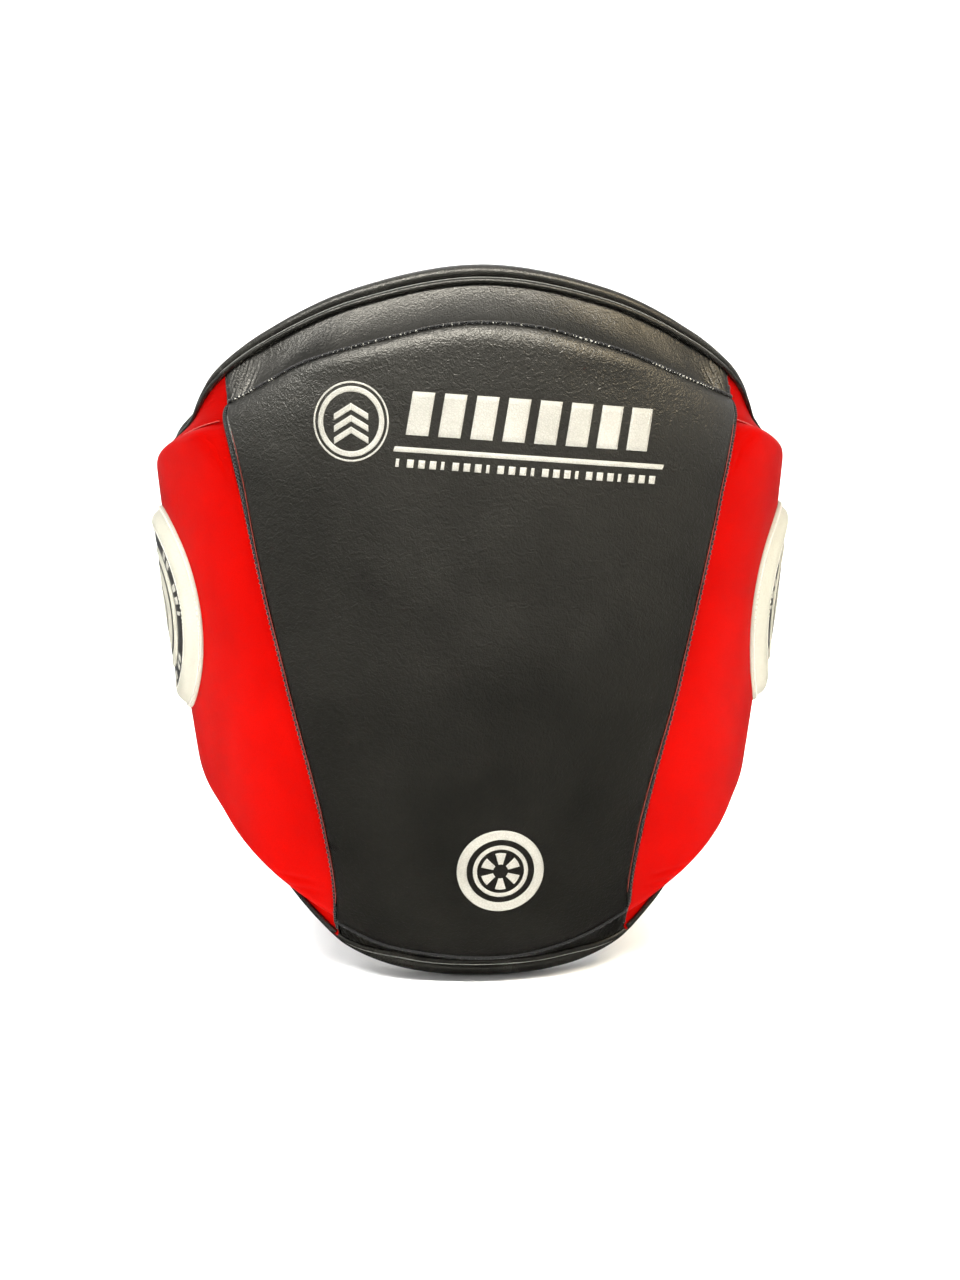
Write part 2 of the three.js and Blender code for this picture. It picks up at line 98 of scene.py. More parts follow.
MM_PER_DEG = 2.68
EDGE_MM_PER_DEG = 3.4
BACK_MM_PER_DEG = 2.9
BASE_INSET = 6.2
STRIP_LEFT = 6.8
# Radius of the cushion's rounded edges, and the share of its height that the upper and lower ones take
SIDE_ROUND = 2.6
TOP_ROUND = (12.0, 0.25)
BOTTOM_ROUND = (9.0, 0.16)
PAD_ROUND = {"seam": 2.4, "rear": 9.0, "low": 10.0, "top": 8.0}
PAD_DROP = 0.62
PUCKER = 1.5
PATCH_FROM = PAD_REAR_DEG + 1.2
PATCH_TO = HINGE_DEG - 0.7
PATCH_LIFT = -0.2
PATCH_THICK = 2.6
STRAP_LIFT = 1.1
STRAP_STITCH = (0.0036, 0.0027, 0.0004)
SHAPE_PASSES = 14
SIDES = ((-1, "left"), (1, "right"))
UP = np.array([0.0, 0.0, 1.0])


def curve_through(points):
    xs, ys = np.array(points, float).T
    last = len(points) - 1
    ends = [(max(i - 1, 0), min(i + 1, last)) for i in range(last + 1)]
    slopes = np.array([(ys[b] - ys[a]) / (xs[b] - xs[a]) for a, b in ends])

    def value(x):
        at = np.clip(np.asarray(x, float), xs[0], xs[-1])
        i = np.clip(np.searchsorted(xs, at, side="right") - 1, 0, last - 1)
        width = xs[i + 1] - xs[i]
        s = (at - xs[i]) / width
        mix = s * s * (3 - 2 * s)
        pull = slopes[i] * s * (1 - s) ** 2 - slopes[i + 1] * s * s * (1 - s)
        return ys[i] + (ys[i + 1] - ys[i]) * mix + pull * width

    return value


top_edge = curve_through([(-22, 410), (0, 422), (22, 410), (42, 386), (55, 367), (71, 342), (90, 323), (120, 313)])
bottom_edge = curve_through([
    (-19, 6.5), (0, 3.5), (19, 6.5), (34, 17.5), (43, 34), (52, 55), (61, 72), (75, 85), (90, 98), (120, 114),
])
panel_top = curve_through([
    (-52, 339), (-45, 345.5), (-36.6, 355), (-28, 367), (-21, 374), (-12, 382), (-6.5, 386.5), (0, 388.3),
    (7.7, 385.6), (14, 379.5), (20, 373.3), (28, 364), (37, 355), (45.5, 348.5), (52, 342),
])
panel_low = curve_through([
    (-40, 46), (-31.5, 35), (-22.5, 25), (-11.7, 20), (-1, 17.8), (9, 19.6), (20, 27.6), (32.5, 43), (40, 53),
])
pad_top = curve_through([(36, 338), (60, 328), (75, 319), (90, 311), (120, 299)])
seam = curve_through([(6, 39), (45, 32), (95, 30.6), (183, 33.7), (270, 38.3), (314, 41.4), (345, 46.5), (372, 54)])
middle_depth = curve_through([(20, 31), (70, 43), (140, 54), (210, 60), (345, 60), (392, 55)])
seam_depth = curve_through([(20, 25), (48, 33), (95, 42), (180, 51), (300, 51), (335, 42), (360, 22)])
wing_depth = curve_through([(30, 48), (45, 46), (62, 36), (80, 30), (120, 26)])


def lerp(a, b, s):
    return a + (b - a) * s


def smoothstep(x, low, high):
    s = np.clip((np.asarray(x, float) - low) / (high - low), 0, 1)
    return s * s * (3 - 2 * s)


def unit(v):
    return v / np.maximum(np.linalg.norm(v, axis=-1, keepdims=True), 1e-12)


def half_width(z):
    return 172 + 0.1 * (z - 310) - 0.00012 * (z - 310) ** 2


def half_depth(z):
    return 122 - 0.0003 * np.maximum(0, 200 - z) ** 2


def lean(theta, z):
    """How far the wings' upper edge leans in towards the wearer, mm."""
    reach = np.abs(theta)
    return 7.0 * smoothstep(reach, 50, 74) * (1 - smoothstep(reach, 96, 116)) * smoothstep(z, 316, 338)


def on_shell(theta, z, t):
    """Points in the row frame, in metres, for angle, height and depth."""
    theta, z, t = np.broadcast_arrays(np.asarray(theta, float), np.asarray(z, float), np.asarray(t, float))
    turn = np.radians(theta)
    out = t - lean(theta, z)
    x = (half_width(z) + out) * np.sin(turn)
    y = -(half_depth(z) + out) * np.cos(turn) + ORIGIN_Y
    return np.stack([x, y, z - ORIGIN_Z], -1) * 0.001


def shell_normal(theta, z, t):
    step = 0.05
    across = on_shell(theta + step, z, t) - on_shell(theta - step, z, t)
    up = on_shell(theta, z + step, t) - on_shell(theta, z - step, t)
    return unit(np.cross(across, up))


def shell_path(theta, z, t):
    return on_shell(theta, z, t), shell_normal(theta, z, t)


def edge_line(out, inset, slim=True):
    """The line inset mm in from the upper (out 1) or lower (out -1) edge, measured square to it.

    The inset of the lower line narrows towards the wings, where the roll is slimmer, unless slim is off.
    """
    edge = top_edge if out > 0 else bottom_edge

    def line(theta):
        away = inset - (LOW_SLIM * smoothstep(np.abs(theta), 18, 34) if slim and out < 0 else 0)
        return edge(theta) - out * away * np.hypot(1, (edge(theta + 1) - edge(theta - 1)) / (2 * MM_PER_DEG))

    return line


def settle(theta_at, z_at, z=310.0):
    """Angles and heights that each depend on the other, from a first guess of the height."""
    z = np.asarray(z)
    for _ in range(SHAPE_PASSES):
        theta = theta_at(z)
        z = z_at(theta)
    return theta, z


def steps(first, last, count, up=False):
    """Even steps laid down a grid's columns, or along its rows."""
    values = np.linspace(first, last, count)
    return values[None, :] if up else values[:, None]


def block_depth(theta, z):
    return lerp(middle_depth(z), seam_depth(z), (np.abs(theta) / seam(z)) ** 2)


def wing_face(theta, z):
    near = np.minimum(seam_depth(z) - STEP, wing_depth(theta))
    return lerp(near, wing_depth(theta), smoothstep((theta - seam(z)) / (FLUSH_DEG - seam(z)), 0, 1))


def belt_t(theta):
    return lerp(BELT_T, BELT_T_AT_BACK, smoothstep(theta, HINGE_DEG, 160))


def strip_width(side, z):
    """Width in mm of the stitched black strip between the panel and a wing."""
    if side < 0:
        return lerp(2.0, STRIP_LEFT, smoothstep(z, 215, 335))
    return lerp(5.6, 2.8, smoothstep(z, 90, 190))


def panel_side(side, z, inset):
    """Angle of the line inset mm in from the panel's side edge."""
    return side * (seam(z) - (strip_width(side, z) + inset) / EDGE_MM_PER_DEG)


def bump_noise(points, scale, seed=0.0):
    """A smooth, repeatable wave field about -1 to 1, from a few turned sine waves."""
    p = points * scale
    turns = [(1.0, 0.35, 0.2, 0.0), (-0.4, 1.1, 0.5, 1.3), (0.3, -0.6, 1.2, 2.1), (0.9, 0.8, -0.7, 4.0)]
    return sum(np.sin(p @ np.array(way) + phase + seed) for *way, phase in turns) / len(turns)


# ---- Materials ----

class Nodes:
    """Short calls that add nodes to a tree. An input is a plain value or another node's output."""

    def __init__(self, tree):
        self.tree = tree

    def put(self, socket, value):
        if isinstance(value, bpy.types.NodeSocket):
            self.tree.links.new(value, socket)
        else:
            socket.default_value = value

    def add(self, kind, inputs, output=0, **settings):
        node = self.tree.nodes.new("ShaderNode" + kind)
        for key, value in settings.items():
            setattr(node, key, value)
        for key, value in inputs.items():
            self.put(node.inputs[key], value)
        return node.outputs[output]

    def place(self, stretch=(1, 1, 1), attribute=None):
        """The coordinates that a pattern is laid out on: the row frame, or a strap's own length and width."""
        if attribute:
            source = self.add("Attribute", {}, "Vector", attribute_name=attribute)
        else:
            source = self.add("TexCoord", {}, "Object")
        return self.add("Mapping", {"Vector": source, "Scale": stretch})

    def noise(self, place, scale, detail, rough=0.55):
        return self.add("TexNoise", {"Vector": place, "Scale": scale, "Detail": detail, "Roughness": rough})

    def cells(self, place, scale, feature):
        return self.add("TexVoronoi", {"Vector": place, "Scale": scale}, feature=feature)

    def wave(self, place, direction, scale, distortion=0.0):
        inputs = {"Vector": place, "Scale": scale, "Distortion": distortion, "Detail Scale": 3.0}
        return self.add("TexWave", inputs, "Fac", bands_direction=direction)

    def ramp(self, value, *stops):
        """Colours along a value: each stop is where it lies and a colour or a grey."""
        node = self.tree.nodes.new("ShaderNodeValToRGB")
        while len(node.color_ramp.elements) < len(stops):
            node.color_ramp.elements.new(0.5)
        for element, (at, colour) in zip(node.color_ramp.elements, stops):
            element.position = at
            element.color = (*np.broadcast_to(colour, 3).tolist(), 1)
        self.put(node.inputs["Fac"], value)
        return node.outputs["Color"]

    def remap(self, value, *limits):
        """From the first two limits to the last two."""
        return self.add("MapRange", dict(enumerate((value, *limits))))

    def maths(self, operation, a, b):
        return self.add("Math", {0: a, 1: b}, operation=operation)

    def weigh(self, a, b, share):
        return self.maths("ADD", self.maths("MULTIPLY", a, share), self.maths("MULTIPLY", b, 1 - share))


class Look(Nodes):
    """A material's tree, with the numbers that are the same all over set on its shader."""

    def __init__(self, name, **settings):
        self.material = bpy.data.materials.new(name)
        self.material.use_nodes = True
        super().__init__(self.material.node_tree)
        self.tree.nodes.clear()
        output = self.tree.nodes.new("ShaderNodeOutputMaterial")
        self.shader = self.tree.nodes.new("ShaderNodeBsdfPrincipled")
        self.tree.links.new(self.shader.outputs[0], output.inputs[0])
        for key, value in settings.items():
            self.shader.inputs[key.replace("_", " ")].default_value = value

    def finish(self, reliefs=(), **patterns):
        """Joins patterns and stacked (height, depth in metres, strength) reliefs to the shader."""
        for height, distance, strength in reliefs:
            inputs = {"Height": height, "Distance": distance, "Strength": strength}
            if "Normal" in patterns:
                inputs["Normal"] = patterns["Normal"]
            patterns["Normal"] = self.add("Bump", inputs)
        for key, value in patterns.items():
            self.put(self.shader.inputs[key.replace("_", " ")], value)
        return self.material


def leather(name, dark, light, pebble, grain, rough, crease, gloss=0.5, tint=(1, 1, 1)):
    """Leather with a pebbled grain, fine pores, soft large creases and uneven colour, and painted shade that darkens
    the valleys between the pebbles.
    """
    nodes = Look(name, Specular_IOR_Level=gloss, Specular_Tint=(*tint, 1))
    place = nodes.place()
    wobble = nodes.noise(place, 260.0, 2.0)
    shift = nodes.add("CombineXYZ", {0: wobble, 1: wobble, 2: wobble})
    warped = nodes.add("VectorMath", {0: shift, 1: (0.0024, -0.0024, 0.0024), 2: place}, operation="MULTIPLY_ADD")
    cells = nodes.cells(warped, pebble, "DISTANCE_TO_EDGE")
    pebbles = nodes.ramp(cells, (0.0, 0.0), (0.3, 0.6), (0.8, 1.0))
    pores = nodes.noise(place, 2300.0, 3.0, 0.7)
    soft = nodes.noise(place, 26.0, 4.0, 0.5)
    broad = nodes.noise(place, 7.0, 2.0, 0.5)
    folds = nodes.noise(nodes.place((1, 1, 0.6)), 150.0, 5.0, 0.62)
    wrinkles = nodes.wave(nodes.place((1, 1, 0.8)), "Z", 60.0, 14.0)
    colour = nodes.ramp(nodes.weigh(soft, broad, 0.55), (0.32, dark), (0.68, light))
    # Painted shade: the colour is pulled darker in the valleys between the pebbles, near the cells' edges
    # Sockets 6, 7 and 2 are the ones for colours
    valley_shade = (*(c * 0.45 for c in dark), 1)
    valley_shaded_colour = nodes.add("Mix", {0: nodes.remap(cells, 0.0, 0.16, 0.22, 0.0), 6: colour, 7: valley_shade}, 2, data_type="RGBA")
    shine = nodes.remap(nodes.weigh(soft, pores, 0.6), 0.3, 0.7, *rough)
    return nodes.finish([
        (soft, 0.0014, crease), (folds, 0.0007, crease), (wrinkles, 0.0003, grain * 0.5), (pebbles, 0.00024, grain),
        (pores, 0.0001, grain),
    ], Base_Color=valley_shaded_colour, Roughness=shine)


def woven(name, dark, light, along, across, rough, sheen, attribute=None, depth=0.0003):
    """Cloth: along and across are about twice the threads in a metre."""
    to_scale = 6.283
    nodes = Look(name, Sheen_Weight=sheen, Sheen_Roughness=0.5)
    place = nodes.place(attribute=attribute)
    warp = nodes.wave(place, "X", along / to_scale)
    weft = nodes.wave(place, "Y" if attribute else "Z", across / to_scale)
    threads = nodes.maths("MULTIPLY", warp, weft)
    patchy = nodes.noise(place, 30.0 if attribute else 40.0, 4.0)
    fuzz = nodes.noise(place, 3200.0, 2.0)
    colour = nodes.ramp(nodes.weigh(threads, patchy, 0.5), (0.15, dark), (0.7, light))
    shine = nodes.remap(patchy, 0.3, 0.7, rough - 0.08, rough + 0.08)
    reliefs = [(patchy, 0.0008, 0.25), (threads, depth, 0.7), (fuzz, 0.0001, 0.5)]
    return nodes.finish(reliefs, Base_Color=colour, Roughness=shine)


def pile(name, dark, light, scale):
    """Hook or loop tape: a field of little stalks."""
    nodes = Look(name, Sheen_Weight=0.35, Sheen_Roughness=0.6, Roughness=0.95)
    place = nodes.place()
    stalks = nodes.cells(place, scale, "F1")
    curl = nodes.noise(place, scale * 1.6, 3.0, 0.7)
    patchy = nodes.noise(place, 55.0, 3.0)
    colour = nodes.ramp(nodes.weigh(curl, patchy, 0.6), (0.3, dark), (0.72, light))
    return nodes.finish([(patchy, 0.0009, 0.4), (stalks, 0.0006, 0.8), (curl, 0.0003, 0.7)], Base_Color=colour)


def thread(name, dark, light, rough=0.45):
    nodes = Look(name, Sheen_Weight=0.2)
    fibre = nodes.noise(nodes.place(), 1500.0, 3.0)
    colour = nodes.ramp(fibre, (0.3, dark), (0.7, light))
    shine = nodes.remap(fibre, 0.3, 0.7, rough - 0.1, rough + 0.15)
    return nodes.finish([(fibre, 0.0001, 0.6)], Base_Color=colour, Roughness=shine)


def metal(name, colour):
    nodes = Look(name, Metallic=1.0)
    scratches = nodes.noise(nodes.place((1, 1, 0.08)), 2600.0, 4.0, 0.7)
    cloudy = nodes.noise(nodes.place(), 120.0, 4.0)
    shade = nodes.ramp(cloudy, (0.3, tuple(c * 0.72 for c in colour)), (0.65, colour))
    shine = nodes.remap(scratches, 0.25, 0.75, 0.16, 0.34)
    return nodes.finish([(scratches, 0.00004, 0.35), (cloudy, 0.0001, 0.2)], Base_Color=shade, Roughness=shine)


WARM = (1.0, 0.955, 0.85)
BLACK = leather(
    "black_leather", (0.0045, 0.0044, 0.0037), (0.0095, 0.0091, 0.0075), 680.0, 0.6, (0.27, 0.38), 0.34, 0.72, WARM)
EDGE_BLACK = leather(
    "edge_leather", (0.007, 0.0069, 0.006), (0.015, 0.0146, 0.0122), 820.0, 0.45, (0.20, 0.30), 0.5, 0.55, WARM)
RED = leather(
    "red_leather", (0.28, 0.0009, 0.0004), (0.36, 0.0014, 0.0005), 900.0, 0.14, (0.42, 0.52), 0.16, 0.02,
    (1.0, 0.1, 0.05))
RED_EDGE = leather("red_edge", (0.13, 0.016, 0.009), (0.24, 0.024, 0.013), 900.0, 0.2, (0.4, 0.55), 0.2)
WHITE = leather("white_leather", (0.36, 0.352, 0.29), (0.45, 0.44, 0.365), 900.0, 0.2, (0.38, 0.5), 0.2, 0.35)
PRINT_BLACK = leather("black_print", (0.010, 0.010, 0.010), (0.022, 0.022, 0.021), 900.0, 0.25, (0.3, 0.42), 0.2)
PRINT_SILVER = leather(
    "silver_print", (0.29, 0.283, 0.245), (0.40, 0.39, 0.345), 640.0, 0.6, (0.32, 0.48), 0.2, 0.4)
LINING = woven("lining_cloth", (0.010, 0.010, 0.011), (0.036, 0.036, 0.039), 7600.0, 7600.0, 0.8, 0.25)
ELASTIC = woven(
    "elastic", (0.008, 0.008, 0.009), (0.034, 0.034, 0.037), 2300.0, 5200.0, 0.82, 0.35, "flat", 0.0006)
HOOK = pile("hook_tape", (0.006, 0.006, 0.007), (0.030, 0.030, 0.033), 700.0)
LOOP = pile("loop_tape", (0.009, 0.009, 0.010), (0.050, 0.050, 0.054), 420.0)
THREAD_BLACK = thread("black_thread", (0.006, 0.006, 0.0055), (0.045, 0.044, 0.040))
THREAD_DARK = thread("dark_thread", (0.24, 0.235, 0.20), (0.58, 0.57, 0.50), 0.4)
# Painted shade: near-black, for the beads that stand for the shade in each needle's hole
HOLE_SHADE = thread("needle_hole_shade", (0.0012, 0.0012, 0.0012), (0.003, 0.003, 0.003), 0.85)
THREAD_LIGHT = thread("grey_thread", (0.10, 0.10, 0.09), (0.30, 0.30, 0.27))
THREAD_RED = thread("red_thread", (0.40, 0.010, 0.006), (0.70, 0.07, 0.04))
THREAD_WHITE = thread("white_thread", (0.42, 0.41, 0.36), (0.70, 0.69, 0.62))
STEEL = metal("steel", (0.62, 0.63, 0.64))


# ---- Mesh building ----

def make_object(name, vertices, faces, material):
    mesh = bpy.data.meshes.new(name)
    mesh.from_pydata(np.asarray(vertices).tolist(), [], faces)
    mesh.materials.append(material)
    mesh.polygons.foreach_set("use_smooth", [True] * len(mesh.polygons))
    mesh.update()
    obj = bpy.data.objects.new(name, mesh)
    bpy.context.scene.collection.objects.link(obj)
    return obj


def solid(name, shape, material):
    """A closed mesh from (vertices, faces), turned outwards as a whole, judged by its signed volume."""
    obj = make_object(name, *shape, material)
    mesh = obj.data
    co = vertex_data(mesh, "co")
    mesh.calc_loop_triangles()
    tri = np.empty(len(mesh.loop_triangles) * 3, np.int32)
    mesh.loop_triangles.foreach_get("vertices", tri)
    a, b, c = (co[tri.reshape(-1, 3)[:, k]] for k in range(3))
    if np.einsum("ij,ij->i", a, np.cross(b, c)).sum() < 0:
        mesh.flip_normals()
    mesh.update()
    return obj


def between(outer, inner, wrap=False):
    """Vertices and faces of a thin closed form between two grids of points, [across][up]."""
    n, m = outer.shape[:2]
    at = np.arange(2 * n * m).reshape(2, n, m).tolist()
    faces = []
    for i in range(n if wrap else n - 1):
        (a, b), (c, d) = ((side[i], side[(i + 1) % n]) for side in at)
        for j in range(m - 1):
            faces += [(a[j], b[j], b[j + 1], a[j + 1]), (c[j], c[j + 1], d[j + 1], d[j])]
        faces += [(a[0], c[0], d[0], b[0]), (a[-1], b[-1], d[-1], c[-1])]
    if not wrap:
        (a, b), (c, d) = ((side[0], side[-1]) for side in at)
        for j in range(m - 1):
            faces += [(a[j], a[j + 1], c[j + 1], c[j]), (b[j], d[j], d[j + 1], b[j + 1])]
    return np.concatenate([outer.reshape(-1, 3), inner.reshape(-1, 3)]), faces


def slab(theta, z, outer_t, inner_t):
    return between(on_shell(theta, z, outer_t), on_shell(theta, z, inner_t))


def hoop_faces(hoops, sides, closed=False):
    """Faces of a tube made of rings of points, capped at both ends unless it closes on itself."""
    faces = []
    for i in range(hoops if closed else hoops - 1):
        a, b = i * sides, (i + 1) % hoops * sides
        for j in range(sides):
            k = (j + 1) % sides
            faces.append((a + j, a + k, b + k, b + j))
    if not closed:
        faces += [tuple(reversed(range(sides))), tuple(range((hoops - 1) * sides, hoops * sides))]
    return faces


def vertex_data(mesh, key):
    out = np.empty(len(mesh.vertices) * 3, np.float32)
    mesh.vertices.foreach_get(key, out)
    return out.reshape(-1, 3).astype(float)


def set_coordinates(obj, co):
    obj.data.vertices.foreach_set("co", np.asarray(co, np.float32).ravel())
    obj.data.update()


def push(obj, amount):
    """Moves each point along its normal by amount(points, normals), metres."""
    co, out = vertex_data(obj.data, "co"), vertex_data(obj.data, "normal")
    set_coordinates(obj, co + out * amount(co, out)[:, None])


def subdivide(obj, levels):
    """Replaces the object's mesh with a smoother, finer one."""
    modifier = obj.modifiers.new("subdivision", "SUBSURF")
    modifier.levels = modifier.render_levels = levels
    bpy.context.view_layer.update()
    graph = bpy.context.evaluated_depsgraph_get()
    made = bpy.data.meshes.new_from_object(obj.evaluated_get(graph), depsgraph=graph)
    made.polygons.foreach_set("use_smooth", [True] * len(made.polygons))
    old = obj.data
    obj.modifiers.clear()
    obj.data = made
    bpy.data.meshes.remove(old)
    made.name = obj.name


def inflate(obj, free, pressure, cap):
    """Blows a cover's free outer points out with air pressure and keeps the result, each moved at most cap metres."""
    frames = 20
    rest = vertex_data(obj.data, "co")
    group = obj.vertex_groups.new(name="sewn")
    for i, share in enumerate(np.concatenate([1 - free.ravel(), np.ones(free.size)])):
        group.add([i], float(share), "REPLACE")
    modifier = obj.modifiers.new("cover", "CLOTH")
    for key, value in dict(
        quality=6, mass=0.25, tension_stiffness=18, compression_stiffness=18, shear_stiffness=8,
        bending_stiffness=0.6, air_damping=2.0, use_pressure=True, uniform_pressure_force=pressure,
        vertex_group_mass="sewn",
    ).items():
        setattr(modifier.settings, key, value)
    modifier.settings.effector_weights.gravity = 0
    modifier.collision_settings.use_collision = False
    modifier.point_cache.frame_start = 1
    modifier.point_cache.frame_end = frames
    scene = bpy.context.scene
    for step in range(1, frames + 1):
        scene.frame_set(step)
    shown = obj.evaluated_get(bpy.context.evaluated_depsgraph_get())
    co = vertex_data(shown.to_mesh(), "co")
    shown.to_mesh_clear()
    obj.modifiers.clear()
    obj.vertex_groups.clear()
    scene.frame_set(1)
    moved = np.nan_to_num(co - rest)
    length = np.linalg.norm(moved, axis=1, keepdims=True)
    set_coordinates(obj, rest + moved * np.minimum(1, cap / np.maximum(length, 1e-9)))


def resample(path, count=None, pitch=None):
    length = np.concatenate([[0], np.cumsum(np.linalg.norm(np.diff(path, axis=0), axis=1))])
    count = count or max(2, int(round(length[-1] / pitch)))
    at = np.linspace(0, length[-1], count)
    return np.stack([np.interp(at, length, path[:, k]) for k in range(path.shape[1])], 1)


def even_path(path, normal, pitch):
    """A path's points and unit normals at even steps."""
    both = resample(np.concatenate([path, normal], 1), pitch=pitch)
    return both[:, :3], unit(both[:, 3:])


def around(sides):
    turn = np.linspace(0, 2 * math.pi, sides, endpoint=False)
    return np.cos(turn), np.sin(turn)


def tube(path, normal, radius_out, radius_side, sides, taper=0):
    """Vertices and faces of a closed rod of oval section along path, with rounded ends."""
    heading = unit(np.gradient(path, axis=0))
    normal = unit(normal - heading * np.einsum("ij,ij->i", normal, heading)[:, None])
    side = np.cross(heading, normal)
    grow = np.ones(len(path))
    for k in range(taper):
        grow[k] = grow[-1 - k] = math.sqrt(1 - (1 - (k + 0.5) / (taper + 0.5)) ** 2)
    cos, sin = around(sides)
    out = cos[None, :, None] * normal[:, None, :] * (radius_out * grow)[:, None, None]
    across = sin[None, :, None] * side[:, None, :] * (radius_side * grow)[:, None, None]
    return (path[:, None, :] + out + across).reshape(-1, 3), hoop_faces(len(path), sides)


def stitch_parts(path, normal, pitch, length, radius, lift=0.0):
    """One row of lockstitch: short rounded threads that dip into the leather between them."""
    points, up = even_path(path, normal, pitch)
    heading = unit(np.gradient(points, axis=0))
    side = unit(np.cross(heading, up))
    cos, sin = around(6)
    hoops = [(-0.5, -0.5, 0.35), (-0.34, 0.1, 0.9), (0.0, 0.45, 1.0), (0.34, 0.1, 0.9), (0.5, -0.5, 0.35)]
    circle = (up[:, None] * cos[:, None] + side[:, None] * sin[:, None]) * radius
    vertices = np.concatenate([
        (points + heading * (along * length) + up * (lift + rise * radius))[:, None] + circle * size
        for along, rise, size in hoops
    ], 1)
    faces = hoop_faces(len(hoops), len(cos))
    return [(stitch, faces) for stitch in vertices]


def piece(obj, body, replaces=()):
    """Puts a finished mesh on its CAD body, or, given a pair of bodies to bend between, leaves it in place, and hides
    the CAD parts that it replaces.
    """
    if isinstance(body, str):
        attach(obj, body)
    else:
        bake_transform(obj)
    if replaces:
        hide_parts(*replaces)


def many(name, parts, material, body):
    """One piece from many small parts, each (vertices, faces)."""
    faces, start = [], 0
    for vertices, part_faces in parts:
        faces += [tuple(v + start for v in face) for face in part_faces]
        start += len(vertices)
    piece(make_object(name, np.concatenate([vertices for vertices, _ in parts]), faces, material), body)


def add_seam_thread(name, path, normal, material):
    """A row of visible stitches and, between them, dark beads of painted shade where the needle has pierced the
    leather.
    """
    pitch, body, slot = 0.0035, "center", "black_leather"
    many(name, stitch_parts(path, normal, pitch, pitch * 0.62, 0.00050, 0.00012), material, body)
    both = resample(np.concatenate([path, normal], 1), pitch=pitch)
    # Painted shade: dark beads between the stitches, lifted just above the leather, stand for the shade in each
    # needle's hole
    halfway = (both[1:] + both[:-1]) / 2
    hole_shades = stitch_parts(halfway[:, :3], halfway[:, 3:], pitch, pitch * 0.46, 0.00088, 0.00022)
    many(name.replace("stitches", "hole_shades"), hole_shades, HOLE_SHADE, body)


def surface_of(obj):
    polygons = [tuple(p.vertices) for p in obj.data.polygons]
    return BVHTree.FromPolygons([tuple(v.co) for v in obj.data.vertices], polygons)


def drop_on(tree, theta, z, lift=0.0):
    """Points and normals where the lines square to the shell first meet a surface."""
    shape = np.shape(theta)
    starts, ends = (on_shell(np.ravel(theta), np.ravel(z), t) for t in (100.0, 0.0))
    points, ups = [], []
    for a, b in zip(starts, ends):
        way = Vector(b - a)
        hit, normal, _, _ = tree.ray_cast(Vector(a), way.normalized(), way.length)
        if hit is None:
            hit, normal = Vector(b), -way.normalized()
        if normal.dot(way) > 0:
            normal = -normal
        points.append(hit + normal * lift * 0.001)
        ups.append(normal)
    return np.array(points).reshape(*shape, 3), np.array(ups).reshape(*shape, 3)


def wing_bend(side, name):
    """Where things that cross from the centre to a wing bend: from the seam's ends, 26 mm on."""
    low, top = on_shell(side * 38.0, 14.0, 8.0), on_shell(side * 54.0, 366.0, 8.0)
    line = unit(top - low)
    outward = unit(np.array([side, 0.95, 0.0]))
    outward = unit(outward - line * (outward @ line))
    return ("center", "wing_" + name, tuple(low), tuple(low + outward * 0.026))


# ---- Camera ----

AZIMUTH = math.radians(-3.09)
ELEVATION = math.radians(6.0)
TARGET = Vector((0, ORIGIN_Y, 200.0 - ORIGIN_Z)) * 0.001
DISTANCE = 1.2
FOCAL_PIXELS = 1832.0
PICTURE = (960, 1280)
CENTRE_PIXEL = (471.1, 627.0)
ROLL = math.radians(0.31)
SENSOR = 36.0

camera_data = bpy.data.cameras.new("camera")
camera = bpy.data.objects.new("camera", camera_data)
bpy.context.scene.collection.objects.link(camera)
bpy.context.scene.camera = camera
back = Vector((
    math.sin(AZIMUTH) * math.cos(ELEVATION), -math.cos(AZIMUTH) * math.cos(ELEVATION), math.sin(ELEVATION),
))
camera.location = TARGET + back * DISTANCE
camera.rotation_mode = "QUATERNION"
camera.rotation_quaternion = (-back).to_track_quat("-Z", "Y") @ Matrix.Rotation(-ROLL, 3, "Z").to_quaternion()
camera_data.sensor_width = SENSOR
camera_data.lens = FOCAL_PIXELS / PICTURE[1] * SENSOR
camera_data.shift_x = (PICTURE[0] / 2 - CENTRE_PIXEL[0]) / PICTURE[1]
camera_data.shift_y = (CENTRE_PIXEL[1] - PICTURE[1] / 2) / PICTURE[1]
camera_data.clip_start = 0.01
camera_data.clip_end = 20


# ---- Stuffed covers ----

def rim(gap, share, radius, drop, foot_drop=0.0):
    """The lines up a cover's rounded edge: distance in (mm), share of the height, and the drop below its face."""
    lines = [(0.0, 0.0, foot_drop), (gap, share, foot_drop)]
    for k in range(4):
        a = math.pi / 2 * (k + 1) / 4
        lines.append((2 * gap + radius * (1 - math.cos(a)), 1.0, drop * (1 - math.sin(a))))
    return lines


def rimmed(first, last, count):
    """A grid's lines, a rim's at each end and even ones between.

    For each line: the way across, the distances in from the first and last edge, the share of the height and the drop.
    """
    way = np.concatenate([np.zeros(len(first)), np.linspace(0, 1, count)[1:-1], np.ones(len(last))])
    near = np.array(first + [first[-1]] * (len(way) - len(first)))
    far = np.array([last[-1]] * (len(way) - len(last)) + last[::-1])
    return way, near[:, 0], far[:, 0], near[:, 1] * far[:, 1], near[:, 2] + far[:, 2]


def cover_shape(across, up, theta_ends, z_ends, face, floor):
    """Angle, height and depth of a stuffed cover that stands on a floor depth."""
    way, near, far, share, drop = (values[:, None] for values in across)
    way_up, above, below, share_up, drop_up = up

    def theta_at(z):
        return lerp(*theta_ends(z, near, far), way)

    def z_at(theta):
        low, high = z_ends(theta)
        return lerp(low + above, high - below, way_up)

    theta, z = settle(theta_at, z_at, 200.0)
    height = (face(theta, z) - floor) * (1 - drop_up) - drop
    return theta, z, floor + np.maximum(height, 0.5) * share * share_up


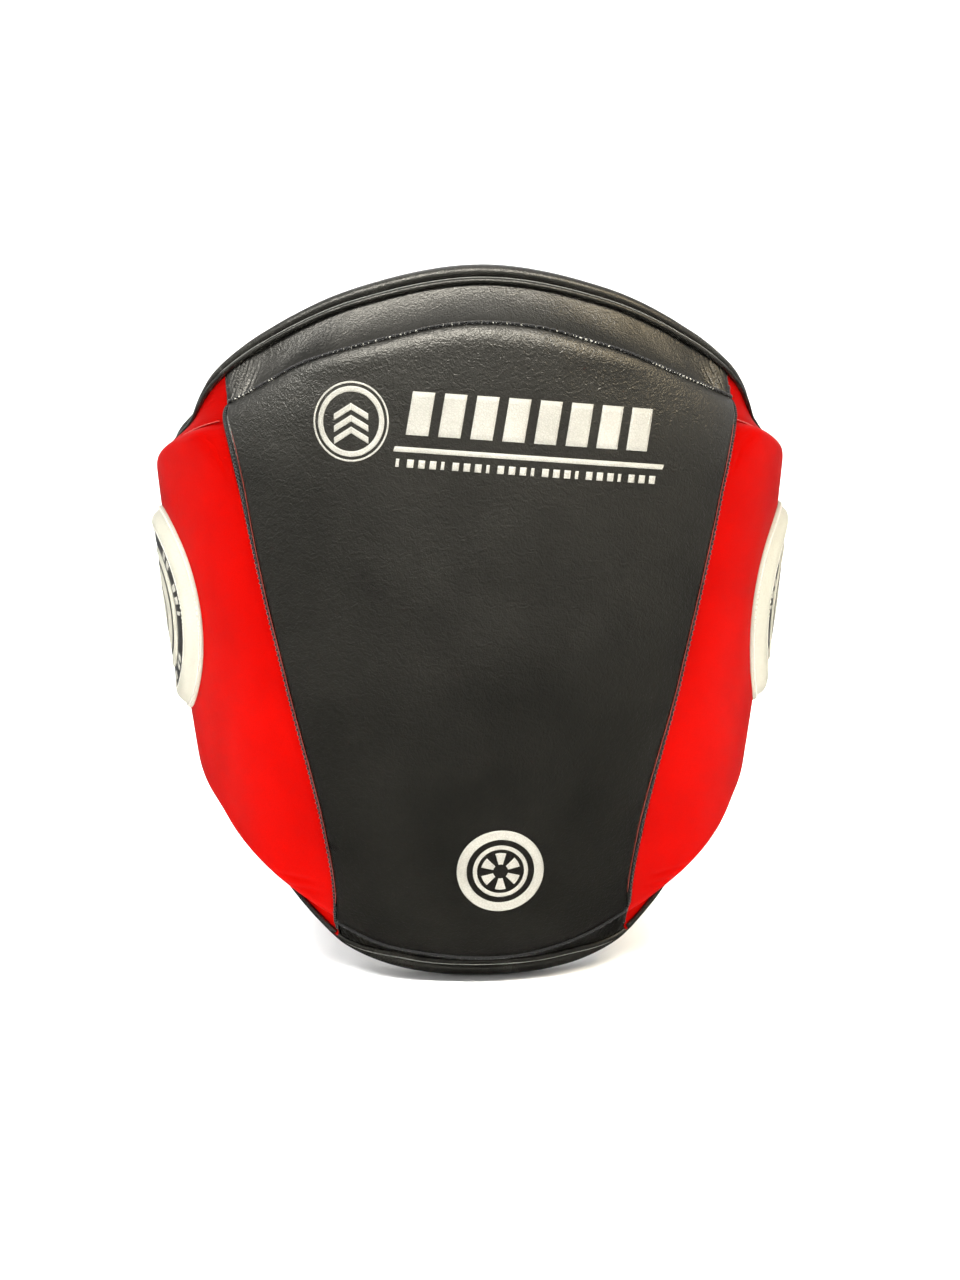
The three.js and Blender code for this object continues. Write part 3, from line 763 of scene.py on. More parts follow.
def add_front_cushion():
    side = rim(0.05, 0.5, SIDE_ROUND, SIDE_ROUND)
    low, high = (rim(0.05, 0.5, radius, drop, drop) for radius, drop in (BOTTOM_ROUND, TOP_ROUND))
    theta, z, t = cover_shape(
        rimmed(side, side, 54), rimmed(low, high, 74),
        lambda z, near, far: (panel_side(-1, z, near), panel_side(1, z, far)),
        lambda theta: (panel_low(theta), panel_top(theta)), block_depth, BASE + 0.6)
    obj = solid("front_cushion", slab(theta, z, t, BASE + 0.3), BLACK)
    free = np.zeros_like(z)
    free[6:-6, 4:-4] = 1.0
    free[[6, -7]] *= 0.5
    inflate(obj, free, 2.6, 0.0035)
    subdivide(obj, 1)
    push(obj, lambda co, out: np.clip(-out[:, 1], 0, 1) * (
        0.00035 * bump_noise(co, 55.0) + 0.00022 * bump_noise(co, 130.0, 2.0)))
    tree = surface_of(obj)
    piece(obj, "center", ("front_cover", "core_foam", "face_foam"))
    return tree


front_tree = add_front_cushion()


# ---- Bands above and below the block ----

def add_band(name, out, block_edge, round_share):
    s, u = steps(0, 1, 19, True), steps(-1, 1, 420)
    line = edge_line(out, EDGE - 1.0)
    theta, z = settle(
        lambda z: u * (seam(z) - 1.3),
        lambda theta: lerp(block_edge(theta) - out * 0.6, line(np.abs(theta)), s ** 1.25), 300.0 if out > 0 else 40.0)
    reach = np.abs(theta)
    full = np.maximum(block_depth(theta, block_edge(theta)) - BASE, 2.2)
    start_t = BASE + full * (1 - round_share) + 0.25
    end_t = BASE + SKIN + 0.2
    sag = lerp(0.30, 0.62, smoothstep(np.abs(u), 0.72, 1.0))
    t = (1 - s) ** 2 * start_t + 2 * s * (1 - s) * lerp(end_t, start_t, sag) + s * s * end_t
    # Gathers beside each seam, and slow waves between them
    near = np.exp(-(((1 - np.abs(u)) * 50 - 4.8) / 3.8) ** 2)
    window = np.sin(np.pi * np.clip(s * 0.92 + 0.06, 0, 1)) ** 0.7
    ridges = np.sin(reach * 5.6 + 2.2 * s + np.sign(u)) ** 3 + 0.6 * np.sin(reach * 9.5 - 2.6 * s + 1.0)
    t = t + window * (PUCKER * near * ridges + 0.22 * np.sin(reach * 0.55 + 2.0 * s) * (1 - near))
    obj = solid(name + "_band", slab(theta, z, t, np.maximum(BASE + 0.2, t - 1.4)), BLACK)
    piece(obj, "center", (name + "_band",))
    return {side: (z[row][::out], t[row][::out]) for side, row in ((-1, 0), (1, -1))}


band_ends = [add_band("bottom", -1, panel_low, BOTTOM_ROUND[1]), add_band("top", 1, panel_top, TOP_ROUND[1])]


# ---- Side strips, with their stitching and the fine red edge beside the panel ----

def seam_front(side, z):
    """Depth of the block's edge along a seam: the panel's rounded ends, then the bands' slopes."""
    low, high = (float(settle(lambda h: side * seam(h), edge)[1]) for edge in (panel_low, panel_top))
    top_gap = 1 - np.clip((high - z) / TOP_ROUND[0], 0, 1)
    low_gap = 1 - np.clip((z - low) / BOTTOM_ROUND[0], 0, 1)
    drop = TOP_ROUND[1] * (1 - np.sqrt(1 - top_gap ** 2)) + BOTTOM_ROUND[1] * (1 - np.sqrt(1 - low_gap ** 2))
    t = BASE + np.maximum(seam_depth(z) - BASE, 2.2) * (1 - drop)
    (low_z, low_t), (high_z, high_t) = (band[side] for band in band_ends)
    t = np.where(z < low_z[-1], np.interp(z, low_z, low_t), t)
    return np.where(z > high_z[0], np.interp(z, high_z, high_t), t)


def add_side_wall(side, name):
    (low_z, _), (high_z, _) = (band[side] for band in band_ends)
    z = np.linspace(low_z[0], high_z[-1] - 0.4, 150)
    at_panel = panel_side(side, z, -0.15)
    seam_t = seam_front(side, z)
    panel_t = np.maximum(BASE + 1.6, seam_t - 0.5)
    strip_t = np.maximum(BASE + 1.4, seam_t - 1.7)
    # Lines over the strip and down beside the pad: angle, depth, and how far the inner side lies off them
    bulges = ((0.0, -0.5), (0.12, 0.15), (0.3, 0.3), (0.55, 0.45), (0.8, 0.5), (0.92, 0.3), (1.0, -0.3))
    lines = [(lerp(at_panel, side * (seam(z) - 0.12), s), lerp(panel_t, strip_t, s) + bulge, 0.12, 1.3)
             for s, bulge in bulges]
    lines += [(side * (seam(z) - 0.06), lerp(strip_t, BASE + 0.6, s), 0.35, 0.2) for s in (0.25, 0.6, 1.0)]
    outer = np.stack([on_shell(a, z, t) for a, t, _, _ in lines])
    inner = np.stack([on_shell(a - side * aside, z, np.maximum(BASE + 0.3, t - below)) for a, t, aside, below in lines])
    obj = solid("side_wall_" + name, between(outer, inner), EDGE_BLACK)
    piece(obj, "center", ("side_wall_" + name,))
    middle = on_shell(lerp(at_panel, side * seam(z), 0.42), z, lerp(panel_t, strip_t, 0.42) + 0.4)
    up = shell_normal(side * seam(z), z, strip_t)
    add_seam_thread("side_stitches_" + name, middle[3:-4], up[3:-4], THREAD_BLACK)
    beside = (z > low_z[-1] + 12) & (z < high_z[0] - 16)
    path = resample(on_shell(panel_side(side, z, 0.1), z, panel_t + 0.25)[beside], 150)
    ahead = np.tile([0.0, -1.0, 0.0], (len(path), 1))
    obj = solid("red_edge_" + name, tube(path, ahead, 0.00042, 0.00036, 8, 3), RED_EDGE)
    piece(obj, "center")


for side, name in SIDES:
    add_side_wall(side, name)


def add_panel_stitches():
    for name, edge, out, gap in (("top", panel_top, 1, 2.3), ("bottom", panel_low, -1, 2.0)):
        ends = [float(settle(lambda z: side * (seam(z) - 1.8), edge)[0]) for side in (-1, 1)]
        theta = np.linspace(*ends, 420)
        points, up = drop_on(front_tree, theta, edge(theta) - out * gap, 0.38)
        add_seam_thread(name + "_seam_stitches", points, up, THREAD_DARK)


add_panel_stitches()


# ---- Rolled edges and piping ----

EDGE_STEP = 0.0022


def add_roll(name, theta, z, seed, body):
    path, normal = even_path(*shell_path(theta, z, BASE / 2), EDGE_STEP)
    wavy = 0.6 * bump_noise(path, 90.0, seed) + 0.4 * bump_noise(path, 260.0, seed * 1.7)
    path = path + normal * (0.00035 * wavy)[:, None]
    obj = solid(name, tube(path, normal, ROLL_T * 0.001, (ROLL_Z + 0.25) * 0.001, 22), EDGE_BLACK)
    piece(obj, body, (name,))


def add_piping(name, theta, z, lift, body, replaces=()):
    path, normal = even_path(*shell_path(theta, z, BASE + SKIN + 1.0 + lift), EDGE_STEP)
    piece(solid(name, tube(path, normal, 0.0019, 0.0017, 12, 3), EDGE_BLACK), body, replaces)


def add_centre_edges():
    for name, out in (("top", 1), ("bottom", -1)):
        line = edge_line(out, ROLL_Z, False)
        limit = float(settle(seam, line)[0])
        theta = np.linspace(-limit, limit, 300)
        add_roll(name + "_binding", theta, line(np.abs(theta)), 1.0 + out, "center")
        theta = np.linspace(0.4 - limit, limit - 0.4, 300)
        reach = np.abs(theta)
        add_piping(name + "_piping", theta, edge_line(out, EDGE - 1.2)(reach), 0.0, "center", (name + "_piping",))
        path, normal = shell_path(theta, edge_line(out, EDGE - 3.4)(reach), BASE + SKIN + 0.05)
        stitches = stitch_parts(path, normal, 0.0036, 0.0026, 0.00034)
        many(name + "_piping_stitches", stitches, THREAD_LIGHT, "center")


add_centre_edges()


def even_outline(theta, z, count):
    """Angles and heights at even steps, measured in mm, along a line."""
    path = resample(np.stack([theta * MM_PER_DEG, z], 1), count)
    return path[:, 0] / MM_PER_DEG, path[:, 1]


def wing_outline(inset, from_deg, slim, count):
    """Angle and height along a wing's edge: over the top, down the rear and back below."""
    high, low = edge_line(1, inset), edge_line(-1, inset, slim)
    first, last = (float(settle(lambda z: seam(z) + from_deg, line)[0]) for line in (high, low))
    corner, rear = REAR_DEG - CORNER_DEG, REAR_DEG + (EDGE - inset) / MM_PER_DEG
    top_z, low_z = float(high(rear)), float(low(rear))
    top_end, low_end = top_z - CORNER - 2, low_z + CORNER + 2
    bend = np.arange(1, 12) / 12 * math.pi / 2
    over, under = np.linspace(first, corner, 40), np.linspace(corner, last, 40)
    theta = np.concatenate([
        over, lerp(corner, rear, np.sin(bend)), np.full(30, rear), lerp(rear, corner, 1 - np.cos(bend)), under])
    z = np.concatenate([
        high(over), lerp(top_z, top_end, 1 - np.cos(bend)), np.linspace(top_end, low_end, 30),
        lerp(low_end, low_z, np.sin(bend)), low(under)])
    return even_outline(theta, z, count)


def add_wing_edge(side, name, bend):
    theta, z = wing_outline(ROLL_Z, 0.15, False, 420)
    add_roll("binding_" + name, side * theta, z, 3.0 + side, bend)
    theta, z = wing_outline(EDGE - 1.2, 0.6, True, 380)
    add_piping("piping_" + name, side * theta, z, -0.4, bend)


# ---- Wings ----

def wing_grid(columns, rows, from_deg, rear, low_line, high_line):
    u, v = steps(0, 1, columns), steps(0, 1, rows, True)

    def z_at(theta):
        cut = CORNER * np.clip((theta - (rear - CORNER_DEG)) / CORNER_DEG, 0, 1) ** 2
        return lerp(low_line(theta) + cut, high_line(theta) - cut, v)

    return settle(lambda z: lerp(seam(z) + from_deg, rear, u), z_at, 200.0)


def pad_outline(gap):
    """Angle and height along the foot of a pad, gap mm outside it: over the top, down the rear and back below."""
    rear = PAD_REAR_DEG + gap / MM_PER_DEG
    above, below = np.linspace(52, rear, 60), np.linspace(rear, 44, 60)
    high, low = pad_top(rear) + gap, bottom_edge(rear) + PAD_LIFT - gap
    z = np.concatenate([
        pad_top(above) + gap, np.linspace(high, low, 32)[1:-1], bottom_edge(below) + PAD_LIFT - gap])
    return even_outline(np.concatenate([above, np.full(30, rear), below]), z, 420)


def add_wing_base(side, name, bend):
    rear = REAR_DEG + 1.6
    low, high = edge_line(-1, BASE_INSET, False), edge_line(1, BASE_INSET)
    theta, z = wing_grid(90, 80, -0.05, rear, low, high)
    rim_share = np.minimum.reduce([z - low(theta), high(theta) - z, (rear - theta) * MM_PER_DEG]) / 6
    puff = 0.5 * (1 - np.clip(rim_share, 0, 1)) ** 2
    obj = solid("wing_base_" + name, slab(side * theta, z, BASE - 0.3, 0.15 + puff), LINING)
    piece(obj, bend, ("lining_" + name, "base_foam_" + name))
    high = edge_line(1, EDGE - 3)
    theta, z = wing_grid(110, 110, 0.1, REAR_DEG + 0.6, edge_line(-1, EDGE - 3), high)
    ripple = 0.25 * bump_noise(on_shell(side * theta, z, 16.0), 160.0, 5.0)
    swell = 4.6 * np.exp(-((z - pad_top(theta) - 1.0) / 9.0) ** 2) * np.clip((high(theta) - z) / 5.0, 0, 1)
    obj = solid("flange_" + name, slab(side * theta, z, BASE + SKIN + ripple + swell, BASE + 0.1), RED)
    tree = surface_of(obj)
    piece(obj, bend, ("flange_" + name,))
    theta, z = pad_outline(2.4)
    stitches = stitch_parts(*drop_on(tree, side * theta, z, 0.1), 0.0036, 0.0022, 0.00036)
    many("flange_stitches_" + name, stitches, THREAD_RED, bend)


# Short folds of the stuffed wing at its front corners: angle and height of each end, depth, width
FOLDS = [
    ((35.5, 62.0), (46.5, 66.0), 0.9, 1.3), ((34.5, 55.5), (44.0, 58.0), 0.7, 1.2),
    ((43.5, 316.0), (50.0, 327.0), 0.6, 1.6), ((42.0, 300.0), (46.0, 322.0), 0.5, 1.5),
    ((43.3, 331.0), (46.6, 332.0), 0.55, 0.7), ((43.0, 327.5), (46.0, 328.0), 0.5, 0.6),
    ((42.4, 323.5), (45.4, 324.5), 0.5, 0.7), ((41.9, 319.0), (44.0, 320.0), 0.4, 0.7),
    ((41.3, 314.0), (43.6, 314.6), 0.35, 0.8),
]


def creases(co, side):
    """How far the folds move each point of a pad, metres."""
    move = np.zeros(len(co))
    for *ends, depth, width in FOLDS:
        z_middle = (ends[0][1] + ends[1][1]) / 2
        a, b = (on_shell(side * theta, z, wing_face(theta, z_middle)) for theta, z in ends)
        line = b - a
        s = np.clip(((co - a) @ line) / (line @ line), 0, 1)
        away = np.linalg.norm(co - (a + s[:, None] * line), axis=1) * 1000
        move -= depth * 0.001 * np.exp(-(away / width) ** 2) * np.sin(np.pi * np.clip(s, 0.02, 0.98)) ** 0.5
    return move


def add_pad(side, name):
    floor = BASE + SKIN + 0.3
    front = rim(0.06, 0.5, PAD_ROUND["seam"], PAD_ROUND["seam"])
    rear = rim(0.1, 0.45, PAD_ROUND["rear"], PAD_ROUND["rear"] * 0.8)
    low, high = (rim(0.1, 0.45, PAD_ROUND[key], PAD_DROP, PAD_DROP) for key in ("low", "top"))
    theta, z, t = cover_shape(
        rimmed(front, rear, 46), rimmed(low, high, 48),
        lambda z, near, far: (seam(z) + 0.12 + near / EDGE_MM_PER_DEG, PAD_REAR_DEG - far / BACK_MM_PER_DEG),
        lambda theta: (bottom_edge(theta) + PAD_LIFT, pad_top(theta)), wing_face, floor)
    obj = solid("pad_" + name, slab(side * theta, z, t, floor - 0.25), RED)
    # The cover is held at its edges and under the target
    free = np.zeros_like(z)
    free[6:-4, 4:-4] = 1.0
    away = np.hypot((theta - TARGET_DEG) * MM_PER_DEG, z - TARGET_Z)
    inflate(obj, free * smoothstep(away, TARGET_RADIUS - 4, TARGET_RADIUS + 14), 2.2, 0.0028)
    subdivide(obj, 2)
    push(obj, lambda co, _: 0.00022 * bump_noise(co, 60.0, side))
    push(obj, lambda co, _: creases(co, side))
    piece(obj, "wing_" + name, ("pad_cover_" + name, "pad_foam_" + name))


# ---- Side targets ----

def target_surface(side, radius, height, turn):
    theta = TARGET_DEG + radius * np.cos(turn) / MM_PER_DEG
    return on_shell(side * theta, TARGET_Z + radius * np.sin(turn), wing_depth(theta) + 1 + height)


def add_target(side, name):
    body = "wing_" + name

    def put(label, profile, material, replaces=(), filled=False):
        """A ring, or a disc if filled, turned from a profile of (radius, height)."""
        turn = np.linspace(0, 2 * math.pi, 128, endpoint=False)
        hoops = np.concatenate([target_surface(side, radius, height, turn) for radius, height in profile])
        obj = solid(label + name, (hoops, hoop_faces(len(profile), len(turn), not filled)), material)
        piece(obj, body, replaces)

    def mark(turn, radius, height, thick, wrap=False):
        return between(
            target_surface(side, radius, height, turn), target_surface(side, radius, height - thick, turn), wrap)

    put("target_ring_", [
        (50.2, 3.0), (50.0, 5.6), (50.4, 6.2), (51.6, 6.5), (53.5, 6.6), (55.6, 6.3), (57.4, 5.5), (59.0, 4.3),
        (60.2, 2.9), (61.2, 1.7), (62.4, 1.1), (63.6, 0.8), (64.2, 0.2), (64.0, -2.0), (56.0, -2.2), (52.0, 1.0),
    ], WHITE, ("target_ring_" + name,))
    put("target_band_", [
        (37.6, 3.0), (37.8, 5.2), (40.0, 5.5), (44.0, 5.65), (48.0, 5.5), (50.1, 5.1), (50.3, 3.0),
    ], PRINT_BLACK, ("target_band_" + name,))
    put("target_lip_", [(36.2, 4.0), (36.3, 5.9), (37.1, 6.3), (38.0, 5.9), (38.1, 4.0)], WHITE)
    put("target_face_", [
        (0.4, -1.6), (20.0, -1.6), (36.0, -1.6), (37.6, 3.2), (36.6, 5.2), (30.0, 5.7), (20.0, 6.0), (10.0, 6.1),
        (0.4, 6.15),
    ], WHITE, ("target_face_" + name, "target_foam_" + name), True)
    turn = np.linspace(0, 2 * math.pi, 400)
    normal = shell_normal(side * (TARGET_DEG + 57 * np.cos(turn) / MM_PER_DEG), TARGET_Z + 57 * np.sin(turn), 34.0)
    stitches = stitch_parts(target_surface(side, 62.9, 1.05, turn), normal, 0.0034, 0.0023, 0.00052)
    stitches += stitch_parts(target_surface(side, 51.4, 6.45, turn), normal, 0.0034, 0.0024, 0.00034)
    many("target_stitches_" + name, stitches, THREAD_WHITE, body)
    dashes = []
    for k in (0, 1, 2, 4, 5, 9, 13, 14, 16, 17, 18, 22, 23, 25, 26, 27, 31, 33, 34):
        middle = 2 * math.pi * k / 36
        wide = 0.050 if k % 3 else 0.026
        dashes.append(mark(steps(middle - wide, middle + wide, 9), steps(41.6, 46.4, 4, True), 5.85, 0.65))
    many("target_marks_" + name, dashes, PRINT_SILVER, body)
    turn = np.linspace(0, 2 * math.pi, 96, endpoint=False)[:, None]
    rings = []
    for reach in ((27.0, 30.5), (13.0, 15.0)):
        radius = steps(*reach, 3, True)
        rings.append(mark(turn, radius, 6.27 - 0.0006 * radius ** 2, 0.72, True))
    many("target_rings_" + name, rings, PRINT_BLACK, body)


for side, name in SIDES:
    bend = wing_bend(side, name)
    add_wing_base(side, name, bend)
    add_wing_edge(side, name, bend)
    add_pad(side, name)
    add_target(side, name)


# ---- Centre base and lining ----

def add_centre_base():
    u, v = steps(-1, 1, 120), steps(0, 1, 110, True)
    low, high = edge_line(-1, BASE_INSET, False), edge_line(1, BASE_INSET)
    theta, z = settle(lambda z: u * seam(z), lambda theta: lerp(low(np.abs(theta)), high(np.abs(theta)), v), 200.0)
    obj = solid("centre_base", slab(theta, z, BASE - 0.1, 0.15), LINING)
    piece(obj, "center", ("lining_center", "backing_board", "base_foam_center"))


add_centre_base()


# ---- Belt, strap and ring ----

def set_flat(obj, along, across):
    """Stores each point's place along and across a strap, in metres, for the weave; both its sides are the same."""
    values = np.stack(np.broadcast_arrays(along, across, 0.0), -1).astype(np.float32).ravel()
    obj.data.attributes.new("flat", "FLOAT_VECTOR", "POINT").data.foreach_set("vector", np.tile(values, 2))


def strap(name, theta_from, theta_to, lift, thick, height, material, columns, side=1, sag=0.0):
    """A flat strap that follows the wearer's back, with softly rounded long edges."""
    theta = steps(theta_from, theta_to, columns)
    edge = np.concatenate([[-1.0, -0.985, -0.955], np.linspace(-0.92, 0.92, 24), [0.955, 0.985, 1.0]])[None, :]
    half = thick / 2 * np.sqrt(np.clip(1 - ((np.abs(edge) - 0.92) / 0.08).clip(0, 1) ** 2, 0.02, 1))
    z = BELT_Z + edge * height / 2
    middle = belt_t(theta) + lift + thick / 2
    middle = middle + sag * np.sin(steps(0, math.pi, columns)) * (0.4 + 0.6 * edge ** 2)
    outer, inner = (on_shell(side * theta, z, middle + way * half) for way in (1, -1))
    obj = solid(name, between(outer, inner), material)
    along = np.cumsum(np.concatenate([[0], np.linalg.norm(np.diff(outer[:, 12], axis=0), axis=1)]))
    set_flat(obj, along[:, None], z * 0.001)
    return obj


def strap_rows(name, rows, lift, body, material, side=1):
    """Rows of stitching, each (angles, heights), lift mm above the inner side of the belt's path."""
    parts = []
    for theta, z in rows:
        parts += stitch_parts(*shell_path(side * theta, z, belt_t(theta) + lift), *STRAP_STITCH)
    many(name, parts, material, body)


def box_rows(theta_a, theta_b, reach):
    """The four sides of a box of stitching about the belt's middle, then its two diagonals."""
    low, high = BELT_Z - reach, BELT_Z + reach
    ends = (
        (theta_a, theta_b, low, low), (theta_a, theta_b, high, high), (theta_a, theta_a, low, high),
        (theta_b, theta_b, low, high), (theta_a, theta_b, low, high), (theta_a, theta_b, high, low),
    )
    return [(np.linspace(a, b, 40), np.linspace(c, d, 40)) for a, b, c, d in ends]


def edge_rows(theta_from, theta_to):
    """Two rows of stitching along the belt's long edges."""
    reach = BELT_HEIGHT / 2 - 3.6
    return [(np.linspace(theta_from, theta_to, 300), np.full(300, BELT_Z + way * reach)) for way in (-1, 1)]


def add_anchor(side, name):
    body = "wing_" + name
    patch = strap(
        "strap_anchor_" + name, PATCH_FROM, PATCH_TO, PATCH_LIFT, PATCH_THICK, BELT_HEIGHT + 8, EDGE_BLACK, 40, side)
    piece(patch, body, ("strap_anchor_" + name,))
    rows = box_rows(PATCH_FROM + 1.0, PATCH_TO - 1.2, BELT_HEIGHT / 2 + 1)
    strap_rows(
        "anchor_stitches_" + name, rows, PATCH_LIFT + PATCH_THICK, body, THREAD_LIGHT, side)


def add_belt():
    end = FOLD_DEG - 0.6
    start, stop = (on_shell(theta, BELT_Z, belt_t(theta) + STRAP_LIFT) for theta in (HINGE_DEG - 0.6, HINGE_DEG + 4.0))
    stop[2] = start[2]
    bend = ("wing_right", "belt", tuple(start), tuple(stop))
    # Each layer: its span, the lift and thickness, how much lower it is than the belt, and how it is made
    for name, first, last, lift, thick, less, material, columns, sag, body, slot in (
        ("elastic_band", HINGE_DEG - 3.4, end, 0.0, 2.0, 0, ELASTIC, 260, 0.25, bend, "elastic"),
        ("loop_panel", 140, end - 1, 2.3, 1.3, 4, LOOP, 130, 0.0, "belt", "hook_and_loop"),
        ("hook_panel", 148, end - 2, 4.0, 1.3, 6, HOOK, 110, 0.0, "belt_tail", "hook_and_loop"),
        ("tail_band", 130.2, FOLD_DEG - 0.5, 5.5, 2.1, 0, ELASTIC, 200, 0.3, "belt_tail", "elastic"),
        ("tail_tab", 126.3, 131.4, 5.2, 2.7, 3, EDGE_BLACK, 24, 0.0, "belt_tail", "black_leather"),
    ):
        obj = strap(name, first, last, lift, thick, BELT_HEIGHT - less, material, columns, sag=sag)
        piece(obj, body, (name,))
    box = box_rows(127.0, 130.7, BELT_HEIGHT / 2 - 4)[:4]
    strap_rows("tab_stitches", box, 7.9, "belt_tail", THREAD_LIGHT)
    strap_rows("loop_stitches", edge_rows(141, end - 2), 3.6, "belt", THREAD_BLACK)
    strap_rows("hook_stitches", edge_rows(149, end - 3), 7.6, "belt_tail", THREAD_BLACK)
    add_belt_fold(end)


def sideways(a, b):
    """Unit steps square to a line of (a, b) points, in its plane."""
    heading = np.gradient(np.stack([a, b], 1), axis=0)
    return unit(np.stack([-heading[:, 1], heading[:, 0]], 1)).T


def add_belt_fold(end):
    """The elastic's turn from the belt into the tail that is folded back over it."""
    low, high = BELT_T_AT_BACK + 1.0, BELT_T_AT_BACK + 5.5 + 1.05
    radius, lead = (high - low) / 2, np.array([-2.0, -1.0])
    turn = np.linspace(-math.pi / 2, math.pi / 2, 18)
    x = np.concatenate([lead, radius * np.cos(turn), lead[::-1]])
    t = np.concatenate([[low, low], (low + high) / 2 + radius * np.sin(turn), [high, high]])
    side_x, side_t = sideways(x, t)
    rows = steps(0.3 - BELT_HEIGHT / 2, BELT_HEIGHT / 2 - 0.3, 26, True)
    outer, inner = (
        on_shell((end + (x + way * side_x) / BACK_MM_PER_DEG)[:, None], BELT_Z + rows, (t + way * side_t)[:, None])
        for way in (1, -1))
    obj = solid("belt_fold", between(outer, inner), ELASTIC)
    set_flat(obj, steps(0, 0.012, len(x)), rows * 0.001)
    start, stop = (on_shell(FOLD_DEG, BELT_Z, t) for t in (low, high))
    stop[2] = start[2]
    piece(obj, ("belt", "belt_tail", tuple(start), tuple(stop)))


def left_hinge_frame():
    hinge = on_shell(-HINGE_DEG, BELT_Z, BELT_T + STRAP_LIFT)
    along = on_shell(-HINGE_DEG - 12, BELT_Z, belt_t(HINGE_DEG + 12) + STRAP_LIFT) - hinge
    along[2] = 0
    along = unit(along)
    return hinge, along, np.cross(UP, along)


def add_ring_strap():
    """The short elastic strap: out from its patch, round the ring's bar and back, sewn to itself."""
    hinge, along, across = left_hinge_frame()
    loop_radius, half_gap, half_thick = 3.35, 1.25, 1.05
    turn = math.asin(half_gap / loop_radius)
    arc = np.linspace(-math.pi + turn, math.pi - turn, 40)
    out, back = np.linspace(-7, BAR_X - 5, 30), np.linspace(BAR_X - 5, 3, 20)
    x = np.concatenate([out, BAR_X + loop_radius * np.cos(arc), back])
    y = np.concatenate([
        lerp(-0.1, -half_gap, smoothstep(out, -1, 6)), loop_radius * np.sin(arc), np.full(len(back), half_gap)])
    side_x, side_y = sideways(x, y) * half_thick
    rows = steps(-36, 36, 26, True)
    # Near the patch the strap leans with the shell
    sewn = on_shell(-HINGE_DEG, BELT_Z + rows[0], BELT_T + STRAP_LIFT)
    shift = (1 - smoothstep(x, -2, 11))[:, None] * ((sewn - hinge) @ across)[None, :]
    outer, inner = (
        hinge + (x + way * side_x)[:, None, None] * along * 0.001 + rows[..., None] * UP * 0.001
        + ((y + way * side_y)[:, None] * 0.001 + shift)[..., None] * across for way in (1, -1))
    obj = solid("ring_strap", between(outer, inner), ELASTIC)
    length = np.concatenate([[0], np.cumsum(np.hypot(np.diff(x), np.diff(y)))]) * 0.001
    set_flat(obj, length[:, None], rows * 0.001)
    bend = ("wing_left", "short_strap", tuple(hinge - along * 0.002), tuple(hinge + along * 0.009))
    piece(obj, bend, ("ring_strap",))
    parts = []
    for at in (BAR_X - 9.0, BAR_X - 12.5):
        for face in (-1, 1):
            points = hinge + (at * along + face * 2.35 * across + steps(-33, 33, 60) * UP) * 0.001
            parts += stitch_parts(points, np.tile(across * face, (60, 1)), *STRAP_STITCH)
    many("ring_strap_stitches", parts, THREAD_LIGHT, "short_strap")


def add_ring():
    hinge, along, across = left_hinge_frame()
    corner, wire = 6.0, 2.0
    left, right, high = BAR_X + corner, BAR_X + RING_WIDTH - corner, RING_HALF_HEIGHT - corner
    outline = []
    for x, z, first in ((right, high, 0), (left, high, 90), (left, -high, 180), (right, -high, 270)):
        turn = np.radians(first + 90 * np.arange(13) / 12)
        outline.append(np.stack([x + corner * np.cos(turn), z + corner * np.sin(turn)], 1))
    outline = np.concatenate(outline + [outline[0][:1]])
    outline = resample(outline, 161)[:-1]
    ahead = unit(np.roll(outline, -1, 0) - np.roll(outline, 1, 0))
    out = np.stack([ahead[:, 1], -ahead[:, 0]], 1)
    cos, sin = around(18)
    flat = outline[:, None, :] + out[:, None, :] * (cos * wire)[None, :, None]
    points = hinge + (flat[..., :1] * along + (sin * wire)[None, :, None] * across + flat[..., 1:] * UP) * 0.001
    obj = solid("ring", (points.reshape(-1, 3), hoop_faces(len(outline), len(cos), True)), STEEL)
    piece(obj, "ring", ("steel_ring",))


for side, name in SIDES:
    add_anchor(side, name)
add_belt()
add_ring_strap()
add_ring()


# ---- Prints on the front: plain shapes ----

def print_part(x, z, wrap=False):
    """A thin print on the panel's face: x mm to the right, z mm up."""
    x, z = np.broadcast_arrays(np.asarray(x, float), np.asarray(z, float))
    theta = np.zeros_like(x)
    for _ in range(10):
        theta = np.degrees(np.arcsin(x / (half_width(z) + block_depth(theta, z))))
    points, ups = drop_on(front_tree, theta, z)
    return between(points + ups * 0.00022, points - ups * 0.0003, wrap)


def ring_part(cx, cz, inner, outer, squeeze=1.0):
    turn = np.linspace(0, 2 * math.pi, 96, endpoint=False)[:, None]
    radius = steps(inner, outer, 4, True)
    return print_part(cx + radius * np.cos(turn) * squeeze, cz + radius * np.sin(turn), True)


def bar_part(x, wide, z, high, slant, columns=8, rows=8):
    """A bar with upright ends that slant, on a line that falls to the right."""
    u, v = steps(0, 1, columns), steps(0, 1, rows, True)
    across = lerp(x, x + wide, u) + slant * v
    return print_part(across, lerp(z, z + high, v) + PRINT_FALL * (across - x))


def chevron_parts(cx, cz, reach, thick):
    u, v = steps(0, 1, 14), steps(0, 1, 4, True)
    return [print_part(cx + way * u * reach, cz - u * reach * 0.62 + v * thick) for way in (1, -1)]


PRINT_FALL = -0.075


